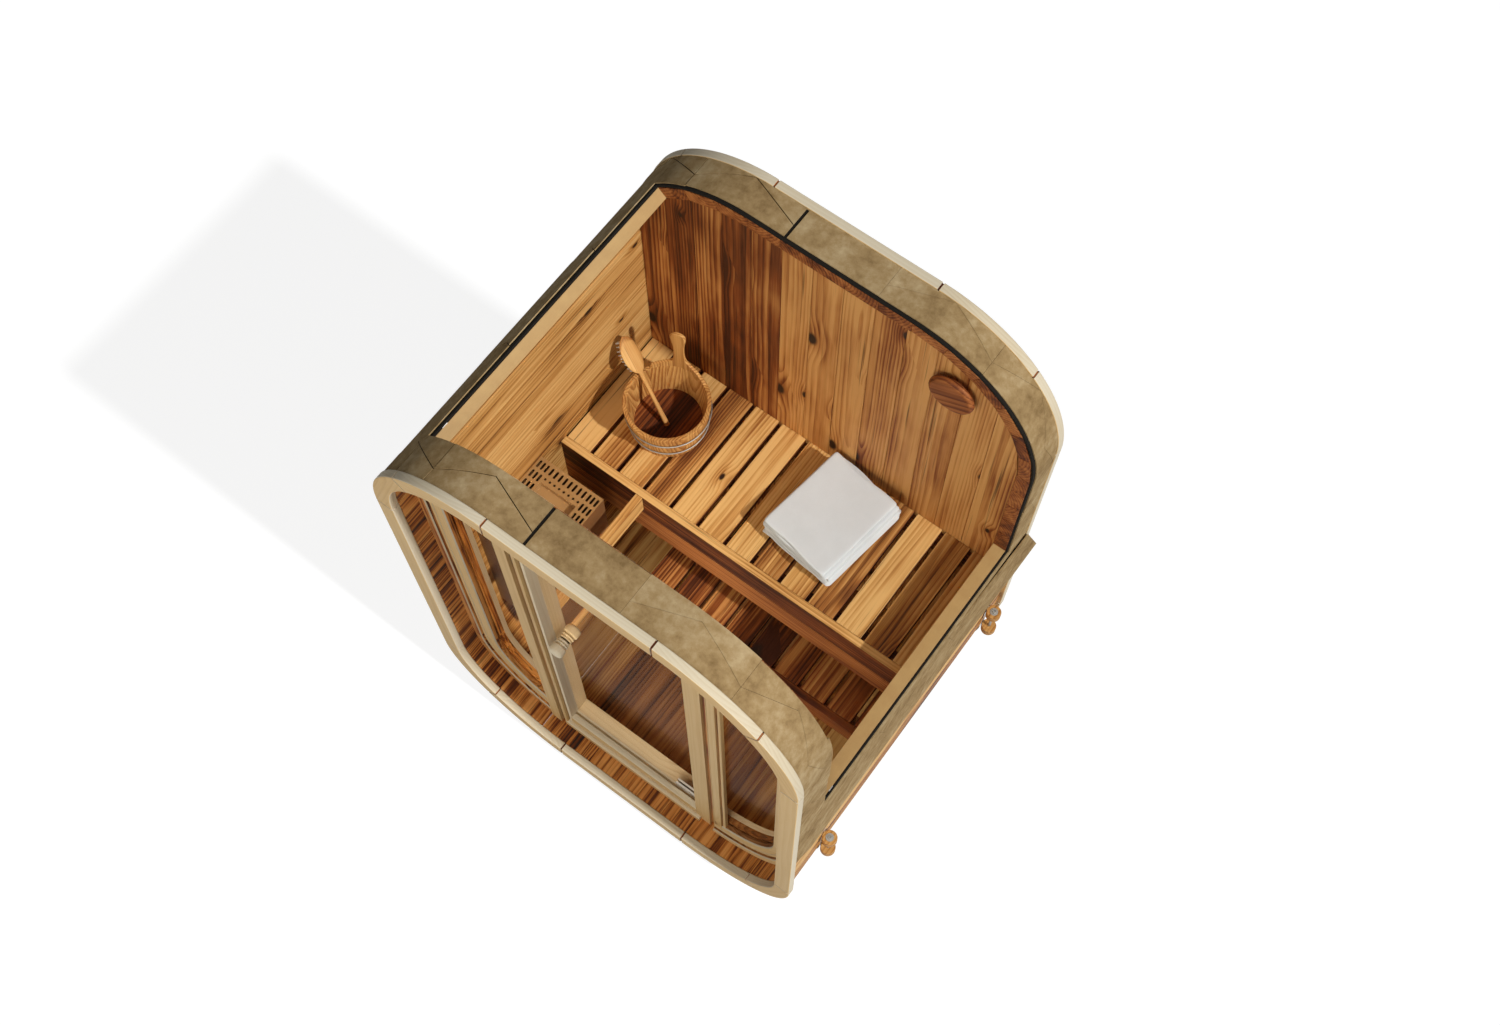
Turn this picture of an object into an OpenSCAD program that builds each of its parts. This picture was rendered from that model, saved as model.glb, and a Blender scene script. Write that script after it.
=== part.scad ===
// Rounded-square barrel sauna with an opened roof, a glass front and two benches.
// Lengths are millimetres. The ground is z = 0, the front faces -Y.

/* [Barrel] */
// Outside width over the rims
barrel_w = 1500; // [1440:10:1700]
// Outside height over the rims
barrel_h = 2211; // [2150:10:2400]
// Outside radius of the four corners
corner_r = 472; // [430:2:500]
// Clear height of the rims above the ground
lift = 45; // [30:1:120]
// Number of staves across the floor and across the roof
flat_staves = 5; // [4:1:7]
// Number of staves up each straight side
side_staves = 12; // [12:1:14]
// Number of staves round each corner
corner_staves = 6; // [4:2:8]
// Thickness of a stave
stave_t = 45; // [38:1:50]
// Gap drawn between neighbouring staves
stave_gap = 0.6; // [0.4:0.1:0.9]

/* [Depths] */
// From the front rim face to the inner face of the front wall
porch_d = 196; // [190:1:230]
// Open floor between the front wall and the upper bench
floor_d = 471; // [400:1:800]
// Depth of the upper bench
bench_d = 495; // [420:1:700]
// From the inner face of the back wall to the rear rim face
rear_d = 150; // [130:1:200]

/* [Rims] */
// Width of a rim across its face
rim_w = 61; // [56:1:70]
// Thickness of a rim along the barrel
rim_t = 29.5; // [24:0.5:36]
// How far the rims stand proud of the staves
rim_proud = 15; // [13:0.5:20]
// Open joint between two rim pieces
rim_joint = 3; // [1:0.5:5]

/* [Roof covering] */
// Thickness of the shingle layer
shingle_t = 6; // [4:0.5:7]
// Thickness of the felt under the shingles
felt_t = 5; // [3:0.5:5]
// Height at which the covering ends on both sides
covering_end = 650; // [600:10:760]
// Size of the cut at the covering's lower front corners
covering_cut = 88; // [40:2:110]
// Strip of felt left bare round the roof opening
felt_margin = 16; // [6:1:24]
// Front edge of the roof opening, from the front rim face
opening_front = 165; // [150:1:185]
// Whole side staves under the roof opening on the right
opening_staves = 7; // [6:1:8]

/* [Front wall] */
// Width of the outer frame member
frame_outer_w = 31; // [24:1:36]
// Width of the inner frame member
frame_inner_w = 50; // [40:1:56]
// Front face of the outer frame member, from the front rim face
frame_outer_y = 90; // [70:1:92]
// How much shallower the window frames and the door head are than the posts
frame_back_in = 19; // [0:1:24]
// Step back from the outer to the inner frame member
frame_step = 12; // [6:1:14]
// Thickness of the window glass
pane_t = 8; // [6:0.5:10]
// How far the window glass stands behind the inner frame member's face
pane_in = 24; // [12:1:40]
// Depth of the groove that holds the window glass
pane_groove = 10; // [6:1:14]
// Clear width between the door jambs
doorway_w = 571; // [540:1:600]
// Sideways place of the doorway's middle
doorway_x = -14.5; // [-30:0.5:30]
// Width of the jamb beside the doorway
jamb_w = 22; // [18:1:28]
// Width of the post beside the jamb
post_w = 64; // [54:1:70]
// How far the posts stand in front of the frame
post_proud = 4; // [2:1:8]
// How far the jambs stand behind the posts
jamb_step = 19; // [12:1:24]

/* [Door] */
// Thickness of the door glass
door_t = 8; // [6:0.5:10]
// How far the door glass stands behind the inner frame member's face
door_in = 37; // [20:1:40]
// Gap beside the door glass
door_gap = 6; // [5.5:0.5:9]
// Gap under and over the door glass
door_end_gap = 9; // [7:0.5:12]
// Distance of the pivot from the hinge edge of the glass
pivot_in = 20; // [16:1:24]
// Diameter of the pivot pins
pivot_pin_d = 12; // [8:0.5:14]
// Play round a pivot pin in its bore
pivot_play = 0.3; // [0.2:0.05:0.5]
// Depth of the pivot bores
pivot_bore_depth = 24; // [20:1:30]
// Width of a pivot clamp
clamp_w = 105; // [80:1:140]
// Height of a pivot clamp on the glass
clamp_h = 32; // [24:1:44]
// Thickness of a clamp cheek
clamp_t = 7; // [5:0.5:9]
// Diameter of the knob
knob_d = 55; // [45:1:62]
// Reach of each knob from the glass
knob_reach = 54; // [46:1:56]
// Diameter of the knob's foot disc
knob_foot_d = 38; // [32:1:44]
// Thickness of the knob's foot disc
knob_foot_l = 7; // [4:0.5:10]
// Knob's distance from the closing edge of the glass
knob_in = 36; // [32:1:48]
// Knob's height above the rim bottom
knob_z = 1000; // [900:10:1100]

/* [Back wall] */
// Thickness of the back wall
back_wall_t = 43; // [36:1:48]
// Number of boards in the back wall
back_boards = 13; // [10:1:15]
// Diameter of the vent cover
vent_d = 150; // [120:2:180]
// Thickness of the vent cover
vent_t = 22; // [16:1:28]
// Open gap behind the vent cover
vent_gap = 14; // [8:1:20]
// Diameter of the vent bore and its collar
vent_bore_d = 90; // [70:1:100]
// Vent's distance from the right wall
vent_in = 245; // [220:5:300]
// Vent's distance below the rim top
vent_drop = 210; // [200:5:260]

/* [Benches] */
// Width of a bench slat
slat_w = 102; // [90:1:110]
// Thickness of slats and bench boards
slat_t = 28; // [22:1:32]
// Gap between slats
slat_gap = 8; // [6:0.5:12]
// Gap between the first slat and the left wall
slat_edge = 6; // [2:0.5:10]
// Top of the upper bench above the rim bottom
upper_top = 1065; // [1020:5:1100]
// Height of the fascia and of the skirt below it
fascia_h = 132; // [110:1:140]
// Step down from the upper to the lower bench
bench_step = 405; // [320:5:440]
// How far the lower bench stands in front of the upper one
lower_reach = 138; // [100:1:180]
// Depth of the lower bench
lower_d = 331; // [260:1:400]
// Gap between the guard rail and the lower bench, seen from the front
lower_aside = 74; // [60:1:120]
// Section of legs, cleats and bearers
cleat_w = 42; // [34:1:46]
// Height of cleats and bearers
cleat_h = 66; // [50:1:70]

/* [Guard rail] */
// Gap between the stove and the guard rail
guard_gap = 57; // [40:1:80]
// Height of the guard rail board
guard_h = 95; // [80:1:110]

/* [Stove] */
// Width of the stove
stove_w = 260; // [250:2:300]
// Depth of the stove
stove_d = 330; // [326:2:360]
// Height of the stove
stove_h = 620; // [560:5:700]
// Height of the stove's underside above the lower corner
stove_low = 18; // [5:1:60]
// Gap between the front wall and the stove
stove_gap = 47; // [30:1:60]
// Sheet thickness of the stove
sheet_t = 3; // [2:0.5:4]
// Plate left in front of and behind the sunk tray
tray_back = 71; // [66:1:90]
// Plate left beside the sunk tray
tray_side = 7; // [3:1:12]
// Depth of the sunk tray
tray_h = 30; // [20:1:50]
// Plate left outside the outermost slots
grille_edge = 10; // [7:1:14]
// Width of a grille slot
slot_w = 9; // [6:0.5:11]
// Length of a grille slot
slot_l = 29; // [20:1:32]
// Spacing of the slot rows
slot_row = 40; // [36:1:40]
// Spacing of the slots beside the tray
slot_side = 16; // [14:0.5:16]
// Spacing of the slots and holes behind the tray
slot_mid = 19.5; // [18:0.5:19.5]

/* [Bands] */
// Width of a steel band
band_w = 20; // [16:1:30]
// Thickness of a steel band
band_t = 1.6; // [1:0.1:2]
// Middle of the front band, from the front rim face
band_front_y = 209; // [200:1:240]
// Middle of the rear band, from the rear rim face
band_rear_in = 121; // [80:1:125]
// Diameter of the round tensioner blocks
block_d = 52; // [40:1:56]
// Height of a tensioner block
block_h = 36; // [28:1:44]
// How far the lower block reaches below the straight side
block_drop = 30; // [0:1:34]
// Spacing of the two blocks
block_pitch = 140; // [110:2:160]
// Diameter of the tensioner bolt
bolt_d = 10; // [8:0.5:12]

/* [Bucket and brush] */
// Outside radius of the bucket at its rim
bucket_top_r = 147; // [130:1:160]
// Outside radius of the bucket at its foot
bucket_foot_r = 126; // [110:1:130]
// Height of the bucket
bucket_h = 162; // [140:1:180]
// Thickness of the bucket wall
bucket_t = 15; // [12:1:18]
// Gap between the brush and the left wall
brush_gap = 8; // [4:1:40]
// Bucket's distance from the back wall
bucket_back = 226; // [215:1:240]
// Rise of the handle above the bucket rim
handle_rise = 190; // [150:2:210]
// Length of the brush
brush_l = 340; // [300:2:380]

/* [Towel] */
// Width of the folded towel
towel_w = 290; // [240:5:320]
// Length of the folded towel
towel_l = 355; // [300:5:380]
// Height of the folded towel
towel_h = 95; // [70:1:110]
// Turn of the towel on the bench
towel_turn = -8; // [-12:0.5:12]
// Towel's distance from the right wall
towel_in = 478; // [400:1:520]
// Gap between the towel and the back wall
towel_gap = 8; // [4:1:20]

/* [Base] */
// Width of a base bearer
bearer_w = 95; // [70:1:140]
// Distance of the bearers from the rim faces
bearer_in = 330; // [260:5:400]

/* [Hidden] */
$fn = 96;

fit = 0.3;
seat = fit / 3;
clamp_bridge = 3;
pin_end_play = 2;
upper_y = porch_d + floor_d;
frame_back = porch_d - frame_back_in;
back_wall_y = upper_y + bench_d;
barrel_d = back_wall_y + rear_d;
half_w = barrel_w / 2;
corner_x = half_w - corner_r;
low_z = corner_r;
high_z = barrel_h - corner_r;
inner_inset = rim_proud + stave_t;
inner_x = half_w - inner_inset;
floor_z = inner_inset;
stave_start = rim_t + fit;
stave_end = barrel_d - rim_t - fit;
flat_pitch = 2 * corner_x / flat_staves;
side_pitch = (high_z - low_z) / side_staves;
corner_step = 90 / corner_staves;
opening_z = low_z + opening_staves * side_pitch;
opening_lap = 2;
opening_back = back_wall_y - opening_lap;
beyond = 1000;

wall_inset = inner_inset + fit;
frame_mid_inset = wall_inset + frame_outer_w;
frame_inset = frame_mid_inset + frame_inner_w;
frame_inner_y = frame_outer_y + frame_step;
pane_y = frame_inner_y + pane_in;
door_y = frame_inner_y + door_in;
doorway_left = doorway_x - doorway_w / 2;
doorway_right = doorway_x + doorway_w / 2;
post_y = frame_outer_y - post_proud;
post_left = doorway_left - jamb_w - post_w;
post_right = doorway_right + jamb_w + post_w;

door_left = doorway_left + door_gap;
door_right = doorway_right - door_gap;
door_low = frame_inset + door_end_gap;
door_high = barrel_h - frame_inset - door_end_gap;
door_mid_y = door_y + door_t / 2;
pivot_x = door_right - pivot_in;
knob_x = door_left + knob_in;

slat_pitch = slat_w + slat_gap;
bench_left = -inner_x + fit;
bench_right = inner_x - fit;
slat_y = upper_y + slat_t;
bench_back = back_wall_y - fit;
slat_underside = upper_top - slat_t;
lower_top = upper_top - bench_step;
lower_underside = lower_top - slat_t;
lower_y = upper_y - lower_reach;
lower_end = lower_y + lower_d;
vent_x = inner_x - vent_in;

felt_inset = rim_proud - band_t - fit - felt_t;
shingle_inset = felt_inset - shingle_t;
stove_x = bench_left;
stove_y = porch_d + stove_gap;
stove_z = low_z + stove_low;
stove_top = stove_z + stove_h;
stove_mid_x = stove_x + stove_w / 2;
stove_mid_y = stove_y + stove_d / 2;
guard_x = stove_x + stove_w + guard_gap;
lower_x = guard_x + slat_t + lower_aside;
slot_rows = floor((stove_d - slot_l) / slot_row) + 1;
slot_margin = (stove_d - (slot_rows - 1) * slot_row) / 2;
side_slots = 3;
mid_slots = floor((stove_w - 2 * grille_edge - 2 * (side_slots - 1) * slot_side) / slot_mid) - 1;
grille_mid_half = (mid_slots - 1) / 2 * slot_mid;
tray_w = 2 * (grille_mid_half + slot_mid - tray_side) - slot_w;
tray_d = stove_d - 2 * tray_back;
hole_back = 57;
hole_d = 9;

band_rear_y = barrel_d - band_rear_in;
block_z = low_z - block_drop;
band_inset = rim_proud - band_t - fit / 2;
block_x = half_w - band_inset + fit + block_d / 2;

bucket_mouth_r = bucket_top_r - bucket_t;
bucket_floor_z = 28;
bucket_floor_t = 14;
grip_foot = 128;
grip_neck = 34;
grip_top = 46;
grip_z = bucket_h * 0.82;
grip_in = 4.5;
grip_thin = 5.5;
grip_r = bucket_top_r - grip_in;
grip_t = bucket_t - grip_thin;
grip_turn = 6;
stick_d = 18;

head_l = 120;
head_w = 62;
head_t = 16;
bristle_l = 20;
brush_heading = 167;
brush_foot = [5, -14];
brush_along = brush_foot.x * cos(brush_heading) + brush_foot.y * sin(brush_heading);
brush_aside = brush_foot.y * cos(brush_heading) - brush_foot.x * sin(brush_heading);
brush_run = sqrt(bucket_mouth_r ^ 2 - brush_aside ^ 2) - brush_along;
brush_foot_z = bucket_floor_z + stick_d / 2;
brush_rise = bucket_h - brush_foot_z;
brush_lean = acos((stick_d / 2 + fit) / norm([brush_run, brush_rise])) - atan2(brush_rise, brush_run);
bristle_reach = (brush_l - stick_d / 2) * sin(brush_lean) + (head_t / 2 + bristle_l) * cos(brush_lean);
brush_reach = bristle_reach * abs(cos(brush_heading)) - brush_foot.x;
bucket_x = -inner_x + brush_gap + brush_reach;
bucket_y = back_wall_y - bucket_back;
towel_x = inner_x - towel_in;
towel_y = back_wall_y - towel_gap - towel_l / 2 * cos(towel_turn) - towel_w / 2 * abs(sin(towel_turn));

pale = "burlywood";
thermo = "peru";
dark_thermo = "sienna";

// Everything is drawn from the front rim face and the rim bottom, then set on the ground.
module placed() {
    translate([0, -barrel_d / 2, lift]) children();
}

// A flat outline in X and Z, drawn out between two depths.
module along(y0, y1) {
    translate([0, y1, 0]) rotate([90, 0, 0]) linear_extrude(y1 - y0) children();
}

// A flat outline in Y and Z, drawn out between two sideways places.
module across(x0, x1) {
    translate([x0, 0, 0]) rotate([90, 0, 90]) linear_extrude(x1 - x0) children();
}

module box(x0, x1, y0, y1, z0, z1) {
    translate([x0, y0, z0]) cube([x1 - x0, y1 - y0, z1 - z0]);
}

// The barrel's rounded-square outline, set in from the rim's outer edge.
module outline(inset) {
    translate([0, barrel_h / 2]) {
        square([2 * corner_x, barrel_h - 2 * inset], center = true);
        square([barrel_w - 2 * inset, high_z - low_z], center = true);
        for (sx = [-1, 1], sz = [-1, 1])
            translate([sx * corner_x, sz * (high_z - low_z) / 2]) circle(corner_r - inset);
    }
}

// Keeps only what lies inside the walls.
module fitted() {
    intersection() {
        along(0, barrel_d) outline(wall_inset);
        children();
    }
}

module ring(outer, inner) {
    difference() {
        outline(outer);
        outline(inner);
    }
}

module left_of(x) {
    translate([x - 2 * beyond, -beyond]) square([2 * beyond, 5 * beyond]);
}

module right_of(x) {
    translate([x, -beyond]) square([2 * beyond, 5 * beyond]);
}

// Twelve rim pieces: four straight ones and two in each corner.
module rim(y0) {
    along(y0, y0 + rim_t) difference() {
        ring(0, rim_w);
        for (sx = [-1, 1], sz = [0, 1], a = [0, 45, 90])
            translate([sx * corner_x, sz == 0 ? low_z : high_z])
                rotate((sz == 0 ? -1 : 1) * (sx > 0 ? a : 180 - a))
                    translate([corner_r - 2 * rim_w, -rim_joint / 2]) square([3 * rim_w, rim_joint]);
    }
}

// Point on a stave's edge: radius, angle and a sideways shift for the gap.
function stave_point(r, a, side) =
    [r * cos(a) - side * stave_gap / 2 * sin(a), r * sin(a) + side * stave_gap / 2 * cos(a)];

module corner_stave(k) {
    outer_r = corner_r - rim_proud;
    inner_r = (corner_r - inner_inset) / cos(corner_step / 2);
    a0 = k * corner_step;
    a1 = a0 + corner_step;
    polygon([
        stave_point(inner_r, a0, 1), stave_point(outer_r, a0, 1),
        stave_point(outer_r, a1, -1), stave_point(inner_r, a1, -1)
    ]);
}

// Staves first to last of a corner, counted from the side wall. sx and sz pick the corner.
module corner_run(sx, sz, first, last, y0, y1) {
    along(y0, y1) translate([sx * corner_x, sz < 0 ? low_z : high_z])
        mirror([sx < 0 ? 1 : 0, 0]) mirror([0, sz < 0 ? 1 : 0])
            for (k = [first:last]) corner_stave(k);
}

module side_run(sx, first, last, y0, y1) {
    x0 = sx < 0 ? -half_w + rim_proud : inner_x;
    for (k = [first:last])
        box(x0, x0 + stave_t, y0, y1, low_z + k * side_pitch + stave_gap / 2,
            low_z + (k + 1) * side_pitch - stave_gap / 2);
}

module flat_run(z0, y0, y1) {
    for (k = [0:flat_staves - 1])
        box(-corner_x + k * flat_pitch + stave_gap / 2, -corner_x + (k + 1) * flat_pitch - stave_gap / 2,
            y0, y1, z0, z0 + stave_t);
}

module front_rim() {
    placed() color(pale) rim(0);
}

module rear_rim() {
    placed() color(pale) rim(barrel_d - rim_t);
}

module floor_staves() {
    placed() color(thermo) flat_run(rim_proud, stave_start, stave_end);
}

module lower_left_corner_staves() {
    placed() color(thermo) corner_run(-1, -1, 0, corner_staves - 1, stave_start, stave_end);
}

module lower_right_corner_staves() {
    placed() color(thermo) corner_run(1, -1, 0, corner_staves - 1, stave_start, stave_end);
}

module left_wall_staves() {
    placed() color(thermo) side_run(-1, 0, side_staves - 1, stave_start, stave_end);
}

module right_wall_staves() {
    placed() color(thermo) side_run(1, 0, opening_staves - 1, stave_start, stave_end);
}

module upper_left_corner_staves() {
    placed() color(thermo) corner_run(-1, 1, 0, corner_staves / 2 - 1, stave_start, stave_end);
}

// Short staves that are left in front of or behind the roof opening.
module roof_arch(y0, y1) {
    corner_run(-1, 1, corner_staves / 2, corner_staves - 1, y0, y1);
    flat_run(barrel_h - inner_inset, y0, y1);
    corner_run(1, 1, 0, corner_staves - 1, y0, y1);
}

module front_roof_staves() {
    placed() color(thermo) roof_arch(stave_start, opening_front);
}

module front_right_staves() {
    placed() color(thermo) side_run(1, opening_staves, side_staves - 1, stave_start, opening_front);
}

module rear_roof_staves() {
    placed() color(thermo) roof_arch(opening_back, stave_end);
}

module rear_right_staves() {
    placed() color(thermo) side_run(1, opening_staves, side_staves - 1, opening_back, stave_end);
}

// The roof opening, from the middle of the upper left corner over to the right wall.
module opening(margin) {
    slant = margin / sqrt(2);
    along(opening_front - margin, opening_back + margin)
        polygon([
            [-corner_x - slant, high_z - slant], [-corner_x - slant - beyond, high_z - slant + beyond],
            [2 * beyond, high_z - slant + beyond], [2 * beyond, opening_z - margin], [0, opening_z - margin]
        ]);
}

module covering(outer, inner, margin) {
    difference() {
        along(stave_start, stave_end) intersection() {
            ring(outer, inner);
            translate([-2 * beyond, covering_end]) square([4 * beyond, barrel_h]);
        }
        opening(margin);
        across(-half_w, half_w) polygon([
            [stave_start - 1, covering_end - 1], [stave_start + covering_cut, covering_end - 1],
            [stave_start - 1, covering_end + covering_cut]
        ]);
    }
}

module roof_felt() {
    placed() color("black") covering(felt_inset, felt_inset + felt_t, 0);
}

module roof_shingles() {
    placed() color("darkkhaki") covering(shingle_inset, felt_inset - seat, felt_margin);
}

// One curved half of the front wall's stepped frame, grooved for its pane.
module window_frame() {
    difference() {
        union() {
            along(frame_outer_y, frame_back) intersection() {
                ring(wall_inset, frame_mid_inset + fit);
                children();
            }
            along(frame_inner_y, frame_back) intersection() {
                ring(frame_mid_inset, frame_inset);
                children();
            }
        }
        along(pane_y - fit, pane_y + pane_t + fit) outline(frame_inset - pane_groove - fit);
    }
}

module left_window_frame() {
    placed() color(pale) window_frame() left_of(post_left - fit);
}

module right_window_frame() {
    placed() color(pale) window_frame() right_of(post_right + fit);
}

module left_window_glass() {
    placed() color("tan", 0.5) along(pane_y, pane_y + pane_t) intersection() {
        outline(frame_inset - pane_groove);
        left_of(post_left + pane_groove);
    }
}

module right_window_glass() {
    placed() color("tan", 0.5) along(pane_y, pane_y + pane_t) intersection() {
        outline(frame_inset - pane_groove);
        right_of(post_right - pane_groove);
    }
}

module pivot_bore(z0, z1) {
    translate([pivot_x, door_mid_y, z0]) cylinder(d = pivot_pin_d + 2 * pivot_play, h = z1 - z0);
}

module door_sill() {
    x0 = doorway_left - jamb_w + fit;
    x1 = doorway_right + jamb_w - fit;
    placed() color(pale) fitted() difference() {
        union() {
            box(x0, x1, frame_outer_y, porch_d, wall_inset, frame_mid_inset);
            box(doorway_left + fit, doorway_right - fit, frame_inner_y, porch_d,
                frame_mid_inset - fit, frame_inset);
        }
        pivot_bore(frame_inset - pivot_bore_depth, frame_inset + 1);
        sill_notch(wall_inset - 1, frame_mid_inset + 1);
    }
}

// Room for the feet of the jambs in the sill and in the head.
module sill_notch(z0, z1) {
    for (x0 = [doorway_left - jamb_w - fit, doorway_right - fit])
        box(x0, x0 + jamb_w + 2 * fit, post_y + jamb_step - fit, porch_d + 1, z0, z1);
}

module door_head() {
    x0 = doorway_left - jamb_w + fit;
    x1 = doorway_right + jamb_w - fit;
    z_top = barrel_h - wall_inset;
    placed() color(pale) fitted() difference() {
        union() {
            box(x0, x1, frame_outer_y, frame_back, z_top - frame_outer_w, z_top);
            box(doorway_left + fit, doorway_right - fit, frame_inner_y, frame_back,
                barrel_h - frame_inset, z_top - frame_outer_w + fit);
        }
        pivot_bore(barrel_h - frame_inset - 1, barrel_h - frame_inset + pivot_bore_depth);
        sill_notch(z_top - frame_outer_w - 1, z_top + 1);
    }
}

// The stretch of the wall's outline between two sideways places.
module between(x0, x1) {
    intersection() {
        outline(wall_inset);
        translate([x0, 0]) square([x1 - x0, barrel_h]);
    }
}

// A post and its jamb, full height between the staves, grooved for the pane beside it.
module door_post(x_post, x_jamb, x_groove) {
    difference() {
        union() {
            along(post_y, porch_d) between(x_post, x_post + post_w);
            along(post_y + jamb_step, porch_d) between(x_jamb, x_jamb + jamb_w);
        }
        box(x_groove - fit, x_groove + pane_groove + fit, pane_y - fit, pane_y + pane_t + fit,
            frame_inset - pane_groove - fit, barrel_h - frame_inset + pane_groove + fit);
    }
}

module left_door_post() {
    placed() color(pale) door_post(post_left, doorway_left - jamb_w, post_left);
}

module right_door_post() {
    placed() color(pale) door_post(post_right - post_w, doorway_right, post_right - pane_groove);
}

module door_glass() {
    placed() color("tan", 0.5) difference() {
        box(door_left, door_right, door_y, door_y + door_t, door_low, door_high);
        translate([knob_x, door_y - 1, knob_z]) rotate([-90, 0, 0])
            cylinder(d = bolt_d + fit, h = door_t + 2);
    }
}

// Clamp for an edge of the glass, drawn up from that edge, with the pin that turns in its bore.
module pivot_clamp() {
    pin_l = door_end_gap + pivot_bore_depth - pin_end_play;
    x0 = door_right - clamp_w;
    difference() {
        union() {
            box(x0, door_right, door_y - clamp_t, door_y + door_t + clamp_t, -clamp_bridge, clamp_h);
            translate([pivot_x, door_mid_y, -pin_l]) cylinder(d = pivot_pin_d, h = pin_l);
        }
        box(x0 - 1, door_right + 1, door_y - seat, door_y + door_t + seat, -seat, clamp_h + 1);
    }
}

module door_pivots() {
    placed() color("silver") {
        translate([0, 0, door_low]) pivot_clamp();
        translate([0, 0, door_high]) mirror([0, 0, 1]) pivot_clamp();
    }
}

// A turned knob for one face of the glass: a foot disc and a bulb on a slim neck.
module knob_half() {
    neck_a = 60;
    bulb_h = (knob_reach - knob_foot_l) / (1 + sin(neck_a));
    rotate_extrude() polygon(concat(
        [[0, 0], [knob_foot_d / 2, 0], [knob_foot_d / 2, knob_foot_l]],
        [for (a = [-neck_a:10:90]) [knob_d / 2 * cos(a), knob_reach - bulb_h + bulb_h * sin(a)]]
    ));
}

module door_knob() {
    placed() color("wheat") translate([knob_x, 0, knob_z]) {
        translate([0, door_y - seat, 0]) rotate([90, 0, 0]) knob_half();
        translate([0, door_y + door_t + seat, 0]) rotate([-90, 0, 0]) knob_half();
        translate([0, door_y - fit, 0]) rotate([-90, 0, 0]) cylinder(d = bolt_d - fit, h = door_t + 2 * fit);
    }
}

// Upright boards inside the stave outline.
module back_wall() {
    width = 2 * (half_w - wall_inset);
    pitch = width / back_boards;
    placed() color(dark_thermo) difference() {
        for (k = [0:back_boards - 1])
            along(back_wall_y, back_wall_y + back_wall_t) intersection() {
                outline(wall_inset);
                translate([-width / 2 + k * pitch + stave_gap / 2, 0]) square([pitch - stave_gap, barrel_h]);
            }
        translate([vent_x, back_wall_y - 1, barrel_h - vent_drop])
            rotate([-90, 0, 0]) cylinder(d = vent_bore_d, h = back_wall_t + 2);
    }
}

// Round wooden cover on a collar that sits in the vent bore.
module vent_cover() {
    round_r = vent_t * 0.4;
    collar_l = vent_gap + back_wall_t;
    collar_d = vent_bore_d - 2 * fit;
    placed() color(dark_thermo) translate([vent_x, back_wall_y, barrel_h - vent_drop]) rotate([90, 0, 0]) {
        translate([0, 0, vent_gap]) rotate_extrude() {
            square([vent_d / 2 - round_r, vent_t]);
            square([vent_d / 2, vent_t - round_r]);
            translate([vent_d / 2 - round_r, vent_t - round_r]) circle(round_r);
        }
        translate([0, 0, -back_wall_t]) cylinder(d = collar_d, h = collar_l);
    }
}

function slat_count() = floor((bench_right - bench_left - slat_edge) / slat_pitch) + 1;

module upper_bench_slats() {
    placed() color(thermo) for (k = [0:slat_count() - 1]) {
        x0 = bench_left + slat_edge + k * slat_pitch;
        box(x0, min(x0 + slat_w, bench_right), slat_y + seat, bench_back, slat_underside, upper_top);
    }
}

// The fascia closes the slat ends, and a skirt board hangs flush below it.
module upper_bench_fascia() {
    placed() color(thermo) for (k = [0, 1])
        box(bench_left, bench_right, upper_y, upper_y + slat_t,
            upper_top - (k + 1) * fascia_h + stave_gap / 2,
            upper_top - k * fascia_h - (k > 0 ? stave_gap / 2 : 0));
}

// Bearers under the slats, behind the fascia and along the back wall, and cleats on the side walls.
module upper_bench_bearers() {
    z1 = slat_underside;
    placed() color(dark_thermo) {
        box(bench_left, bench_right, slat_y + seat, slat_y + cleat_w, z1 - cleat_h, z1);
        box(bench_left, bench_right, bench_back - cleat_w, bench_back, z1 - cleat_h, z1);
        for (x0 = [bench_left, bench_right - cleat_w])
            box(x0, x0 + cleat_w, slat_y + cleat_w + fit, bench_back - cleat_w - fit, z1 - cleat_h, z1);
    }
}

function lower_slats() = floor((bench_right - lower_x) / slat_pitch) + 1;

module lower_bench_slats() {
    placed() color(thermo) fitted() for (k = [0:lower_slats() - 1]) {
        x0 = lower_x + k * slat_pitch;
        if (bench_right - x0 > slat_w / 4)
            box(x0, min(x0 + slat_w, bench_right), lower_y + slat_t + seat, lower_end,
                lower_underside, lower_top);
    }
}

module lower_bench_rail() {
    placed() color(thermo) fitted()
        box(lower_x, bench_right, lower_y, lower_y + slat_t, lower_top - cleat_h - slat_t, lower_top);
}

// Two bearers, two legs at the free end and a cleat on the right wall.
module lower_bench_supports() {
    z1 = lower_underside;
    y0 = lower_y + slat_t + seat;
    placed() color(dark_thermo) fitted() {
        for (y = [y0, lower_end - cleat_w]) {
            box(lower_x, bench_right - cleat_w - fit, y, y + cleat_w, z1 - cleat_h, z1);
            box(lower_x, lower_x + cleat_w, y, y + cleat_w, floor_z, z1 - cleat_h - seat);
        }
        box(bench_right - cleat_w, bench_right, y0, lower_end, z1 - cleat_h, z1);
    }
}

// A board on edge from the fascia to the front wall, beside the stove.
module guard_rail() {
    placed() color(thermo) box(guard_x, guard_x + slat_t, porch_d, upper_y, upper_top - guard_h, upper_top);
}

// Sheet box, open at the top under the grille, with its back to the wall staves.
module stove_casing() {
    y1 = stove_y + stove_d;
    placed() color("saddlebrown") difference() {
        box(stove_x, stove_x + stove_w, stove_y, y1, stove_z, stove_top - sheet_t - seat);
        box(stove_x + sheet_t, stove_x + stove_w - sheet_t, stove_y + sheet_t, y1 - sheet_t,
            stove_z + sheet_t, stove_top);
    }
}

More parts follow.
